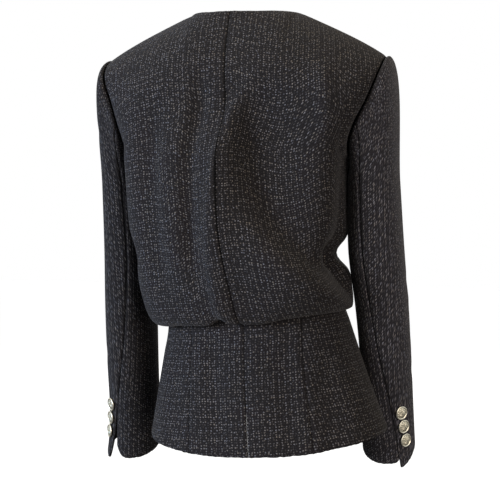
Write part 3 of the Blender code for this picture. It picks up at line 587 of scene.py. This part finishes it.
def aboveHem(reach):
    levels = along(sleeveCut["rings"], np.linspace(0, len(sleeveCut["rings"]) - 1, hemSamples))
    steps = np.hypot(np.diff(levels.height), np.diff(levels.forward))
    rest = np.concatenate([np.cumsum(steps[::-1])[::-1], [0]])
    return np.interp(reach, np.linspace(1, 2, hemSamples), rest)


def reachAboveHem(length):
    reaches = np.linspace(2, 1, hemSamples)
    return np.interp(length, aboveHem(reaches), reaches)


def seamAngle(reach):
    low = along(sleeveCut["rings"], np.clip(reach - 1, 0, 1) * (len(sleeveCut["rings"]) - 1)).seam
    cap = blend(sleeveCut["armholeSeam"], sleeveCut["rings"][0].seam, np.clip(reach, 0, 1))
    return np.where(reach > 1, low, cap)


def sleevePanel(hand, upper, across, reach):
    cuff = sleeveCut["rings"][-1]
    inner = sleeveCut["innerSeam"]
    girth = 2 * math.pi * math.sqrt((cuff.halfWidth**2 + cuff.halfDepth**2) / 2)
    underShare = (inner - cuff.seam) / 360
    fromVent = girth * ((1 - underShare) * (1 - across) if upper else underShare * across)
    radius = ventCut["upperCorner" if upper else "underCorner"][hand]
    corner = np.clip(1 - fromVent / radius, 0, 1)
    cut = radius * (1 - np.sqrt(1 - (ventCut["cornerRound"] * corner) ** 2))
    cut = cut + ventCut["tongueDrop"][hand] * (ease(fromVent / ventCut["tongueWidth"]) if upper else 1)
    reach = reach - (2 - reachAboveHem(cut)) * np.clip(reach - 1, 0, 1) ** ventCut["hemFade"]
    start, end = (inner - 360, seamAngle(reach)) if upper else (seamAngle(reach), inner)
    opening = ventCut["upperOpening" if upper else "underOpening"][hand]
    opening = opening * np.clip(1 - aboveHem(reach) / ventCut["length"], 0, 1)
    shift = opening / girth * 360 * np.clip(1 - fromVent / ventCut["openingWidth"], 0, 1)
    flare = ventFlare(hand, fromVent, reach) if upper else 0.0
    return sleeve(hand, blend(start, end, across) + (-shift if upper else shift), reach, flare)


# cloth panels as thin shells

def edgeSteps(length):
    step = clothMake["step"]
    offsets = np.array(clothMake["edgeOffsets"])
    inner = offsets[-1]
    count = max(2, round((length - 2 * inner) / step))
    middle = np.linspace(inner, length - inner, count + 1)[1:-1]
    return np.concatenate([offsets, middle, length - offsets[::-1]]) / length


def slope(surface, u, v, du, dv):
    u0, u1 = np.clip([u - du, u + du], u.min(), u.max())
    v0, v1 = np.clip([v - dv, v + dv], v.min(), v.max())
    run = np.abs(u1 - u0) + np.abs(v1 - v0)
    return (surface(u1, v1) - surface(u0, v0)) / run[..., None]


def arcLengths(points, axis):
    steps = np.linalg.norm(np.diff(points, axis=axis), axis=-1)
    start = np.zeros_like(np.take(steps, [0], axis=axis))
    return np.concatenate([start, np.cumsum(steps, axis=axis)], axis=axis)


def creaseLift(creases, across, height):
    lift = np.zeros_like(across)
    for one in creases:
        aside = (across - one.across) / one.acrossSpread
        above = (height - one.height - one.slant * (across - one.across)) / one.heightSpread
        lift += one.depth * np.exp(-(aside**2) - above**2)
    return lift


def panelPoints(name, surface, width, length, vEnd, inside, shoulder):
    columns, rows = edgeSteps(width), edgeSteps(length) * vEnd
    u, v = np.meshgrid(columns, rows, indexing="ij")
    du, dv = clothMake["slopeShare"], vEnd * clothMake["slopeShare"]
    uSlope, vSlope = slope(surface, u, v, du, 0), slope(surface, u, v, 0, dv)
    uLength, vLength = np.linalg.norm(uSlope, axis=-1), np.linalg.norm(vSlope, axis=-1)
    sine = np.linalg.norm(np.cross(uSlope, vSlope), axis=-1) / (uLength * vLength)
    sine = np.maximum(sine, clothMake["leastSine"])
    half = clothMake["seamGap"] / 2
    u[0] += half / (uLength * sine)[0]
    u[-1] -= half / (uLength * sine)[-1]
    v[:, 0] += half / (vLength * sine)[:, 0]
    v[:, -1] -= half / (vLength * sine)[:, -1]
    free = columns < shoulder
    chance = np.random.default_rng(len(name) * len(columns))
    ragged = chance.uniform(0, clothMake["rawEdge"], free.sum())[:, None]
    ragged = ragged * np.exp(-(((vEnd - rows) / vEnd * length / clothMake["rawReach"]) ** 2))
    v[free] -= ragged / (vLength * sine)[free]
    outer = surface(u, v)
    normal = np.cross(slope(surface, u, v, du, 0), slope(surface, u, v, 0, dv))
    normal[columns >= shoulder, -1, 1] = 0
    normal = unit(normal)
    middle = outer.shape[0] // 2, outer.shape[1] // 2
    if np.dot(normal[middle], outer[middle] - inside) < 0:
        normal = -normal
    acrossLength, upLength = arcLengths(outer, 0), arcLengths(outer, 1)
    fromSide = np.minimum(acrossLength, acrossLength[-1:] - acrossLength)
    fromEdge = np.minimum(fromSide, np.minimum(upLength, upLength[:, -1:] - upLength))

    # both panels of a side seam turn in along the same line, so that no light comes through
    lengthwise = unit(slope(surface, u, v, 0, dv))
    spread = outer - inside
    spread = unit(spread - (spread * lengthwise).sum(-1, keepdims=True) * lengthwise)
    alike = ease(((spread * normal).sum(-1) - clothMake["mitreFrom"]) / clothMake["mitreFade"])
    share = alike * np.exp(-((fromSide / clothMake["mitreReach"]) ** 2))
    normal = unit(normal + (spread - normal) * share[..., None])
    lift = -clothMake["seamDip"] * np.exp(-((fromEdge / clothMake["seamWidth"]) ** 2))
    creases = clothCreases.get(name, ())
    lift = lift + creaseLift(creases, u, v) * ease(fromEdge / clothMake["creaseMargin"])
    outer = outer + normal * lift[..., None]
    return outer, outer - normal * clothMake["thickness"], acrossLength, upLength, fromEdge


def shellMesh(name, outer, inner, weave, fromEdge):
    nu, nv = outer.shape[:2]
    number = np.arange(nu * nv).reshape(nu, nv)
    quads = np.stack([number[:-1, :-1], number[1:, :-1], number[1:, 1:], number[:-1, 1:]], axis=-1)
    quads = quads.reshape(-1, 4)
    loop = np.concatenate([number[:-1, 0], number[-1, :-1], number[:0:-1, -1], number[0, :0:-1]])
    following = np.roll(loop, -1)
    size = nu * nv
    rim = np.stack([following, loop, loop + size, following + size], axis=-1)
    faces = np.concatenate([quads, quads[:, ::-1] + size, rim])
    points = np.concatenate([outer.reshape(-1, 3), inner.reshape(-1, 3)])
    middle = quads[len(quads) // 2]
    first = points[middle]
    outwards = points[middle[0]] - points[middle[0] + size]
    if np.dot(np.cross(first[1] - first[0], first[2] - first[0]), outwards) < 0:
        faces = faces[:, ::-1]
    mesh = bpy.data.meshes.new(name)
    mesh.from_pydata(points.tolist(), [], faces.tolist())
    corners = np.empty(len(mesh.loops), dtype=np.int64)
    mesh.loops.foreach_get("vertex_index", corners)
    paintedShadeDistance = np.stack([fromEdge, fromEdge], axis=-1)  # distance from the nearest seam or open edge, where the colour gets painted shade
    for label, values in (("weave", weave), ("paintedShadeDistance", paintedShadeDistance)):
        layer = mesh.uv_layers.new(name=label)
        flat = np.tile(values.reshape(-1, 2), (2, 1))
        layer.data.foreach_set("uv", flat[corners].astype(np.float32).ravel())
    mesh.shade_smooth()
    mesh.set_sharp_from_angle(angle=math.radians(clothMake["sharpAngle"]))
    return mesh


def sewPanel(name, surface, width, length, vEnd, inside, grain, shoulder=math.inf):
    points = panelPoints(name, surface, width, length, vEnd, inside, shoulder)
    outer, inner, acrossLength, upLength, fromEdge = points
    turn, origin = grain  # way the weave runs across the panel, and the share of its width it starts at
    start = acrossLength[round(origin * (acrossLength.shape[0] - 1))]
    weave = np.stack([turn * (acrossLength - start), upLength], axis=-1)
    # the painted seam shade is kept faint on the peplum
    if name.startswith("peplum"):
        fromEdge = fromEdge + clothMake["pressedSeam"]
    mesh = shellMesh("cloth_" + name, outer, inner, weave, fromEdge)
    piece = bpy.data.objects.new("cloth_" + name, mesh)
    bpy.context.scene.collection.objects.link(piece)
    piece.data.materials.append(bpy.data.materials["tweedCloth"])
    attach(piece, "root")
    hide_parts(name)


# materials

def newGroup(name, inputs, outputs):
    group = bpy.data.node_groups.new(name, "ShaderNodeTree")
    for label, kind, value in inputs:
        socket = group.interface.new_socket(name=label, in_out="INPUT", socket_type=kind)
        if value is not None:
            socket.default_value = value
    for label, kind in outputs:
        group.interface.new_socket(name=label, in_out="OUTPUT", socket_type=kind)
    return group, group.nodes.new("NodeGroupInput"), group.nodes.new("NodeGroupOutput")


def mathNode(tree, operation, first, second=None, clamp=False):
    node = tree.nodes.new("ShaderNodeMath")
    node.operation = operation
    node.use_clamp = clamp
    for socket, value in zip(node.inputs, (first, second)):
        if value is None:
            continue
        if isinstance(value, (int, float)):
            socket.default_value = value
        else:
            tree.links.new(value, socket)
    return node.outputs[0]


def rangeNode(tree, value, low, high, outLow, outHigh):
    node = tree.nodes.new("ShaderNodeMapRange")
    node.interpolation_type = "SMOOTHSTEP"
    tree.links.new(value, node.inputs["Value"])
    for label, number in (("From Min", low), ("From Max", high), ("To Min", outLow), ("To Max", outHigh)):
        node.inputs[label].default_value = number
    return node.outputs["Result"]


def noiseNode(tree, vector, scale, detail=2.0):
    node = tree.nodes.new("ShaderNodeTexNoise")
    node.noise_dimensions = "3D"
    tree.links.new(vector, node.inputs["Vector"])
    node.inputs["Scale"].default_value = scale
    node.inputs["Detail"].default_value = detail
    return node.outputs["Fac"]


def mixColors(tree, factor, first, second, kind="MIX"):
    node = tree.nodes.new("ShaderNodeMix")
    node.data_type = "RGBA"
    node.blend_type = kind
    for socket, value in ((node.inputs[0], factor), (node.inputs[6], first), (node.inputs[7], second)):
        if isinstance(value, (int, float, tuple)):
            socket.default_value = value
        else:
            tree.links.new(value, socket)
    return node.outputs[2]


weaveStyle = {
    "wander": 0.0013,  # how far the yarns stray from straight
    "wanderScale": 110,
    "randomness": 0.5,
    "fleckSize": (0.06, 0.38),  # in yarn spacings, its bright core and its edge
    "faintest": 0.15,
    "leastLattice": 0.1,
    "endRepeat": 2,
    "pickRepeat": 3,
    "streakLength": 22.0,
    "streakScale": 1.7,
    "streakShare": (0.66, 0.78),
    "streakStrength": 0.6,
    "fibreScale": 1500,
    "fibreShade": (0.45, 1.6),
    "yarnBody": 0.7,
    "fibreHeight": 0.5,
    "roughness": (0.82, 1.0),
}


def weaveGroup():
    group, inside, outside = newGroup(
        "tweedWeave",
        (
            ("Cloth", "NodeSocketVector", None),
            ("Warp Pitch", "NodeSocketFloat", 0.0039),
            ("Weft Pitch", "NodeSocketFloat", 0.0035),
            ("Ground", "NodeSocketColor", (0.01, 0.01, 0.01, 1)),
            ("Warm Fleck", "NodeSocketColor", (0.2, 0.2, 0.2, 1)),
            ("Cool Fleck", "NodeSocketColor", (0.2, 0.2, 0.2, 1)),
            ("Light Ends", "NodeSocketFloat", 0.5),
            ("Light Picks", "NodeSocketFloat", 0.5),
        ),
        (("Color", "NodeSocketColor"), ("Height", "NodeSocketFloat"), ("Roughness", "NodeSocketFloat")),
    )
    cloth = inside.outputs["Cloth"]
    split = group.nodes.new("ShaderNodeSeparateXYZ")
    group.links.new(cloth, split.inputs[0])
    wander = mathNode(group, "SUBTRACT", noiseNode(group, cloth, weaveStyle["wanderScale"], 1), 0.5)
    wander = mathNode(group, "MULTIPLY", wander, weaveStyle["wander"])
    u = mathNode(group, "ADD", split.outputs[0], wander)
    v = mathNode(group, "SUBTRACT", split.outputs[1], wander)
    warp = mathNode(group, "DIVIDE", u, inside.outputs["Warp Pitch"])
    weft = mathNode(group, "DIVIDE", v, inside.outputs["Weft Pitch"])

    # flecks, one to a crossing of the yarns
    crossing = group.nodes.new("ShaderNodeCombineXYZ")
    group.links.new(warp, crossing.inputs[0])
    group.links.new(weft, crossing.inputs[1])
    cells = group.nodes.new("ShaderNodeTexVoronoi")
    cells.voronoi_dimensions = "2D"
    cells.inputs["Scale"].default_value = 1.0
    cells.inputs["Randomness"].default_value = weaveStyle["randomness"]
    group.links.new(crossing.outputs[0], cells.inputs["Vector"])
    chance = group.nodes.new("ShaderNodeSeparateColor")
    group.links.new(cells.outputs["Color"], chance.inputs[0])
    blob = rangeNode(group, cells.outputs["Distance"], *weaveStyle["fleckSize"], 1.0, 0.0)
    strength = rangeNode(group, chance.outputs[0], 0.0, 1.0, weaveStyle["faintest"], 1.0)

    # the small check: every second end and every third pick is lighter
    turn = 2 * math.pi
    ends = mathNode(group, "COSINE", mathNode(group, "MULTIPLY", warp, turn / weaveStyle["endRepeat"]))
    picks = mathNode(group, "COSINE", mathNode(group, "MULTIPLY", weft, turn / weaveStyle["pickRepeat"]))
    ends = mathNode(group, "MULTIPLY", ends, inside.outputs["Light Ends"])
    picks = mathNode(group, "MULTIPLY", picks, inside.outputs["Light Picks"])
    lattice = mathNode(group, "ADD", mathNode(group, "ADD", ends, picks), 1.0)
    lattice = mathNode(group, "MAXIMUM", lattice, weaveStyle["leastLattice"])
    fleck = mathNode(group, "MULTIPLY", mathNode(group, "MULTIPLY", blob, strength), lattice, True)

    # a few bright picks that run for a finger's breadth
    streakPlace = group.nodes.new("ShaderNodeCombineXYZ")
    stretched = mathNode(group, "MULTIPLY", u, weaveStyle["streakLength"])
    group.links.new(stretched, streakPlace.inputs[0])
    group.links.new(mathNode(group, "FLOOR", weft), streakPlace.inputs[1])
    streak = noiseNode(group, streakPlace.outputs[0], weaveStyle["streakScale"], 0)
    streak = rangeNode(group, streak, *weaveStyle["streakShare"], 0.0, weaveStyle["streakStrength"])
    fleck = mathNode(group, "ADD", fleck, mathNode(group, "MULTIPLY", streak, blob), True)

    fibres = noiseNode(group, cloth, weaveStyle["fibreScale"], 3)
    fibreShade = rangeNode(group, fibres, 0.25, 0.75, *weaveStyle["fibreShade"])
    ground = mixColors(group, 1.0, inside.outputs["Ground"], fibreShade, "MULTIPLY")
    light = mixColors(group, chance.outputs[1], inside.outputs["Warm Fleck"], inside.outputs["Cool Fleck"])
    group.links.new(mixColors(group, fleck, ground, light), outside.inputs["Color"])
    body = rangeNode(group, cells.outputs["Distance"], 0.0, 0.6, 1.0, 0.0)
    body = mathNode(group, "MULTIPLY", body, weaveStyle["yarnBody"])
    fuzz = mathNode(group, "MULTIPLY", fibres, weaveStyle["fibreHeight"])
    group.links.new(mathNode(group, "ADD", body, fuzz), outside.inputs["Height"])
    group.links.new(rangeNode(group, fibres, 0.2, 0.8, *weaveStyle["roughness"]), outside.inputs["Roughness"])
    return group


tweedLook = {
    "weave": {
        "Warp Pitch": 0.00375,
        "Weft Pitch": 0.00345,
        "Ground": (0.0182, 0.0171, 0.0184, 1.0),
        "Warm Fleck": (0.214, 0.194, 0.172, 1.0),
        "Cool Fleck": (0.176, 0.182, 0.208, 1.0),
        "Light Ends": 0.75,
        "Light Picks": 0.45,
    },
    "paintedShadeWidth": 0.0022,  # width of the painted shade beside a seam or open edge
    # colour factor of the painted seam shade at the seam line itself
    "paintedShadeDarkest": 0.12,
    "sheen": 0.10,
    "sheenRoughness": 0.45,
    "specular": 0.05,
    "bump": 0.00045,
    "bumpStrength": 0.8,
}


def tweedMaterial(group):
    material = bpy.data.materials.new("tweedCloth")
    material.use_nodes = True
    tree = material.node_tree
    shader = tree.nodes["Principled BSDF"]
    weave = tree.nodes.new("ShaderNodeGroup")
    weave.node_tree = group
    place = tree.nodes.new("ShaderNodeUVMap")
    place.uv_map = "weave"
    tree.links.new(place.outputs[0], weave.inputs["Cloth"])
    for label, value in tweedLook["weave"].items():
        weave.inputs[label].default_value = value
    bump = tree.nodes.new("ShaderNodeBump")
    bump.inputs["Distance"].default_value = tweedLook["bump"]
    bump.inputs["Strength"].default_value = tweedLook["bumpStrength"]
    tree.links.new(weave.outputs["Height"], bump.inputs["Height"])
    # painted shade: the base colour darkens towards every seam and open edge, standing in for the shadow that
    # falls in the seams
    paintedShadeDistance = tree.nodes.new("ShaderNodeUVMap")
    paintedShadeDistance.uv_map = "paintedShadeDistance"
    apart = tree.nodes.new("ShaderNodeSeparateXYZ")
    tree.links.new(paintedShadeDistance.outputs[0], apart.inputs[0])
    shade = rangeNode(tree, apart.outputs[0], 0.0, tweedLook["paintedShadeWidth"], tweedLook["paintedShadeDarkest"], 1.0)
    withPaintedShade = mixColors(tree, 1.0, weave.outputs["Color"], shade, "MULTIPLY")
    tree.links.new(withPaintedShade, shader.inputs["Base Color"])
    tree.links.new(weave.outputs["Roughness"], shader.inputs["Roughness"])
    tree.links.new(bump.outputs[0], shader.inputs["Normal"])
    shader.inputs["Specular IOR Level"].default_value = tweedLook["specular"]
    shader.inputs["Sheen Weight"].default_value = tweedLook["sheen"]
    shader.inputs["Sheen Roughness"].default_value = tweedLook["sheenRoughness"]
    return material


silverLook = {
    "bright": (0.80, 0.76, 0.62, 1.0),
    "dull": (0.34, 0.31, 0.22, 1.0),
    "rim": (0.81, 0.87),  # shares of the radius over which the metal turns rubbed and bright
    "spotScale": 900,
    "spots": 0.5,
    "rubbed": 0.55,
    "brightRoughness": 0.34,
    "dullRoughness": 0.55,
}


def silverMaterial():
    material = bpy.data.materials.new("buttonSilver")
    material.use_nodes = True
    tree = material.node_tree
    shader = tree.nodes["Principled BSDF"]
    place = tree.nodes.new("ShaderNodeUVMap")
    place.uv_map = "face"
    split = tree.nodes.new("ShaderNodeSeparateXYZ")
    tree.links.new(place.outputs[0], split.inputs[0])
    fromAxis, raised = split.outputs[0], split.outputs[1]  # share of the radius, and height of the chasing
    inSpace = tree.nodes.new("ShaderNodeTexCoord").outputs["Object"]
    spots = noiseNode(tree, inSpace, silverLook["spotScale"], 3)
    spots = rangeNode(tree, spots, 0.3, 0.7, 0.0, silverLook["spots"])
    rubbed = rangeNode(tree, raised, 0.35, 0.85, 0.0, silverLook["rubbed"])
    rim = rangeNode(tree, fromAxis, *silverLook["rim"], 0.0, 1.0)
    bright = mathNode(tree, "MAXIMUM", mathNode(tree, "ADD", rubbed, spots), rim, True)
    color = mixColors(tree, bright, silverLook["dull"], silverLook["bright"])
    tree.links.new(color, shader.inputs["Base Color"])
    roughness = rangeNode(tree, bright, 0.0, 1.0, silverLook["dullRoughness"], silverLook["brightRoughness"])
    tree.links.new(roughness, shader.inputs["Roughness"])
    shader.inputs["Metallic"].default_value = 1.0
    return material


tweedMaterial(weaveGroup())
silverMaterial()
print("materials made")


# the panels

def sewBodice():
    for hand, side in sideNames.items():
        for face, part in ((back, "back"), (front, "front")):
            surface = partial(bodice, face, hand)
            inside = np.array((0, 0, bodiceCut["rings"][bodiceCut["underarmRow"]].height))
            grain = (-hand * face, 0.0)
            width, length = bodiceCut["meshSize"]
            sewPanel(
                f"{part}_{side}", surface, width, length, 2.0, inside, grain,
                shoulder=yokeCut["neckColumn"],
            )


def peplumPanel(hand, first, last, across, fall):
    start, end = blend(first[0], first[1], fall), blend(last[0], last[1], fall)
    return peplum(hand * np.clip(blend(start, end, across), *peplumCut["turnLimits"]), fall)


def sewPeplum():
    seams = ((0.0, 0.0), peplumCut["backSeam"], peplumCut["frontSeam"], (180.0, 180.0))
    inside = np.array(peplumCut["middle"])
    length = peplumCut["meshLength"]
    for hand, side in sideNames.items():
        for part, first, last in zip(("back", "side", "front"), seams, seams[1:]):
            surface = partial(peplumPanel, hand, first, last)
            width = peplumCut["meshPerDegree"] * (last[1] - first[1]) + peplumCut["meshMargin"]
            grain = (-hand, peplumCut["grainStart"][part])
            sewPanel(f"peplum_{part}_{side}", surface, width, length, 1.0, inside, grain)


def sewSleeves():
    for hand, side in sideNames.items():
        elbow = sleeveCut["rings"][sleeveCut["elbowRow"]]
        inside = np.array((hand * elbow.out, -elbow.forward, elbow.height))
        length, grain, above = sleeveCut["meshLength"], (-hand, 0.5), f"back_{side}"
        for part, width in sleeveCut["meshWidth"].items():
            surface = partial(sleevePanel, hand, part == "upper")
            sewPanel(f"{part}_sleeve_{side}", surface, width, length, 2.0, inside, grain)


sewBodice()
sewPeplum()
sewSleeves()
print("panels sewn")

buttonStyle = {
    "diameter": 0.0192,
    "spacing": 0.0204,
    "setback": 0.014,
    "rise": 0.0385,
    "count": 3,
    "steps": 96,
    "stand": 0.0003,
    "section": (  # share of the radius, height
        (0.00, 0.0), (0.55, 0.0), (0.90, 0.0009), (0.985, 0.0015), (1.0, 0.0021), (0.985, 0.0027),
        (0.95, 0.0031), (0.90, 0.0032), (0.86, 0.0030), (0.83, 0.0026), (0.80, 0.0026),
    ),
    "faceRings": 14,
    "faceRise": (0.0026, 0.0038),  # beside the rim and at the centre
    "petals": 11,
    "bands": 3,
    "relief": 0.00035,
    "twist": 4,  # the petals turn a little, like a pinwheel
    "rimFade": 4,
    "centreFade": 3,
    "turnEach": 0.7,  # each button is sewn on at another turn
}


def buttonMesh(name, seed):
    steps = buttonStyle["steps"]
    turns = np.linspace(0, 2 * math.pi, steps, endpoint=False)
    edge = buttonStyle["section"][-1][0]
    low, high = buttonStyle["faceRise"]
    rows = [(share, np.full(steps, height), np.ones(steps)) for share, height in buttonStyle["section"]]
    for share in np.linspace(edge, 0, buttonStyle["faceRings"] + 1)[1:]:
        out = share / edge
        petals = np.cos(buttonStyle["petals"] * turns + seed + buttonStyle["twist"] * out)
        bands = math.sin(math.pi * buttonStyle["bands"] * out)
        fade = min(1, buttonStyle["rimFade"] * (1 - out), buttonStyle["centreFade"] * out)
        chased = petals * bands * fade
        rows.append((share, blend(high, low, out**2) + buttonStyle["relief"] * chased, 0.5 + 0.5 * chased))
    radius = buttonStyle["diameter"] / 2
    points = [
        (share * radius * math.cos(turn), share * radius * math.sin(turn), height)
        for share, heights, _ in rows
        for turn, height in zip(turns, heights)
    ]
    face = [(share, tone) for share, _, tones in rows for tone in tones]
    faces = []
    for row in range(len(rows) - 1):
        for step in range(steps):
            here, after = row * steps + step, row * steps + (step + 1) % steps
            faces.append((here, after, after + steps, here + steps))
    mesh = bpy.data.meshes.new(name)
    mesh.from_pydata(points, [], faces)
    layer = mesh.uv_layers.new(name="face")
    for loop in mesh.loops:
        layer.data[loop.index].uv = face[loop.vertex_index]
    mesh.shade_smooth()
    return mesh


def ventPoint(hand, fromSeam, rise):  # a point of the upper sleeve beside its vent
    cuff = sleeveCut["rings"][-1]
    radius = math.sqrt((cuff.halfWidth**2 + cuff.halfDepth**2) / 2)
    opening = ventCut["upperOpening"][hand] * max(1 - rise / ventCut["length"], 0)
    fromVent = (fromSeam - opening) / (1 - opening / ventCut["openingWidth"])
    reach = reachAboveHem(np.full(1, rise))
    angle = seamAngle(reach) - math.degrees(fromSeam / radius)
    return sleeve(hand, angle, reach, ventFlare(hand, fromVent, reach))[0]


def sewButtons():
    for hand, side in sideNames.items():
        for number in range(buttonStyle["count"]):
            rise = buttonStyle["rise"] + (buttonStyle["count"] - 1 - number) * buttonStyle["spacing"]
            setback, radius = buttonStyle["setback"], buttonStyle["diameter"] / 2
            behind, before = (ventPoint(hand, setback + s * radius, rise) for s in (-1, 1))
            above, below = (ventPoint(hand, setback, rise + s * radius) for s in (1, -1))
            normal = Vector(np.cross(above - below, before - behind) * hand).normalized()
            node = f"button_{side}_{number + 1}"
            mesh = buttonMesh("silver_" + node, buttonStyle["turnEach"] * number)
            piece = bpy.data.objects.new("silver_" + node, mesh)
            bpy.context.scene.collection.objects.link(piece)
            turn = Vector((0, 0, 1)).rotation_difference(normal).to_matrix().to_4x4()
            turn.translation = Vector(ventPoint(hand, setback, rise)) + normal * buttonStyle["stand"]
            piece.data.transform(turn)
            piece.data.materials.append(bpy.data.materials["buttonSilver"])
            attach(piece, "root")
            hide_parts(node)


sewButtons()
print("buttons sewn on")

studio = {
    "floorDrop": 0.14,
    "cameraAzimuth": 194.0,
    "cameraDistance": 1.70,
    "cameraHeight": -0.271,
    "focalPixels": 1197.0,
    "framePixels": 500.0,
    "axisPixel": (247.5, 205.0),
    "sensor": 36.0,
    "target": (0, 0, -0.3),
    "floorReach": 6,
    "floorColour": (0.25, 0.25, 0.25, 1.0),
    "floorRoughness": 0.9,
    "lights": (  # name, place, size, watts, colour
        ("key", (1.55, 1.95, 0.1), 1.0, 41.0, (0.92, 0.93, 1.0)),
        ("window", (2.3, 1.0, 0.0), 1.0, 24.0, (0.44, 0.66, 1.0)),
        ("fill", (-1.6, 1.8, -0.1), 1.4, 22.0, (1.0, 0.87, 0.77)),
        ("top", (-0.1, 0.3, 1.9), 1.2, 18.0, (1.0, 0.86, 0.62)),
        ("front", (0.4, -2.4, 0.2), 1.2, 20.0, (1.0, 0.96, 0.92)),
    ),
    "sleeveLight": ("side", (-1.9, 1.3, -0.2), 1.2, 20.0, (0.92, 0.89, 1.0)),  # only on the right sleeve
    "ambient": 0.01,
    "floorGlow": 0.92,
}


def aimAt(thing, target):
    direction = Vector(target) - thing.location
    thing.rotation_euler = direction.to_track_quat("-Z", "Y").to_euler()


def setCamera():
    turn = math.radians(studio["cameraAzimuth"])
    distance = studio["cameraDistance"]
    data = bpy.data.cameras.new("photoCamera")
    data.sensor_width = studio["sensor"]
    data.lens = studio["sensor"] * studio["focalPixels"] / studio["framePixels"]
    camera = bpy.data.objects.new("photoCamera", data)
    bpy.context.scene.collection.objects.link(camera)
    camera.location = (distance * math.sin(turn), -distance * math.cos(turn), studio["cameraHeight"])
    centre = studio["framePixels"] / 2
    aside = (centre - studio["axisPixel"][0]) / studio["focalPixels"] * distance
    down = (centre - studio["axisPixel"][1]) / studio["focalPixels"] * distance
    aimAt(camera, (aside * math.cos(turn), aside * math.sin(turn), studio["cameraHeight"] - down))
    bpy.context.scene.camera = camera


def addLight(name, place, size, watts, colour):
    data = bpy.data.lights.new(name, "AREA")
    data.size = size
    data.energy = watts
    data.color = colour
    light = bpy.data.objects.new(name, data)
    bpy.context.scene.collection.objects.link(light)
    light.location = place
    aimAt(light, studio["target"])
    return light


def setStudio():
    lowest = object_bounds()[0][2]
    floorMaterial = bpy.data.materials.new("paleFloor")
    floorMaterial.use_nodes = True
    shader = floorMaterial.node_tree.nodes["Principled BSDF"]
    shader.inputs["Base Color"].default_value = studio["floorColour"]
    shader.inputs["Roughness"].default_value = studio["floorRoughness"]
    shader.inputs["Emission Color"].default_value = (1.0, 1.0, 1.0, 1.0)
    tree = floorMaterial.node_tree
    seen = tree.nodes.new("ShaderNodeLightPath").outputs["Is Camera Ray"]
    glow = mathNode(tree, "MULTIPLY", seen, studio["floorGlow"])  # pale, yet throws no light up
    tree.links.new(glow, shader.inputs["Emission Strength"])
    mesh = bpy.data.meshes.new("floor")
    height, reach = lowest - studio["floorDrop"], studio["floorReach"]
    square = ((-reach, -reach), (reach, -reach), (reach, reach), (-reach, reach))
    mesh.from_pydata([(x, y, height) for x, y in square], [], [(0, 1, 2, 3)])
    mesh.materials.append(floorMaterial)
    floor = bpy.data.objects.new("floor", mesh)
    bpy.context.scene.collection.objects.link(floor)
    for style in studio["lights"]:
        addLight(*style)
    lit = bpy.data.collections.new("rightSleeve")
    for part in ("upper", "under"):
        lit.objects.link(bpy.data.objects[f"cloth_{part}_sleeve_right"])
    addLight(*studio["sleeveLight"]).light_linking.receiver_collection = lit
    world = bpy.data.worlds.new("studio")
    world.use_nodes = True
    tree = world.node_tree
    shade = tree.nodes["Background"]
    backdrop = tree.nodes.new("ShaderNodeBackground")
    backdrop.inputs["Color"].default_value = (1.0, 1.0, 1.0, 1.0)
    shade.inputs["Color"].default_value = (1.0, 1.0, 1.0, 1.0)
    shade.inputs["Strength"].default_value = studio["ambient"]
    mix = tree.nodes.new("ShaderNodeMixShader")
    path = tree.nodes.new("ShaderNodeLightPath")
    seen = mathNode(tree, "MAXIMUM", path.outputs["Is Camera Ray"], path.outputs["Is Glossy Ray"])
    tree.links.new(seen, mix.inputs[0])  # the buttons mirror the white backdrop too
    tree.links.new(shade.outputs[0], mix.inputs[1])
    tree.links.new(backdrop.outputs[0], mix.inputs[2])
    tree.links.new(mix.outputs[0], tree.nodes["World Output"].inputs["Surface"])
    bpy.context.scene.world = world
    bpy.context.scene.view_settings.view_transform = "Standard"


setCamera()
setStudio()
print("camera and studio set")
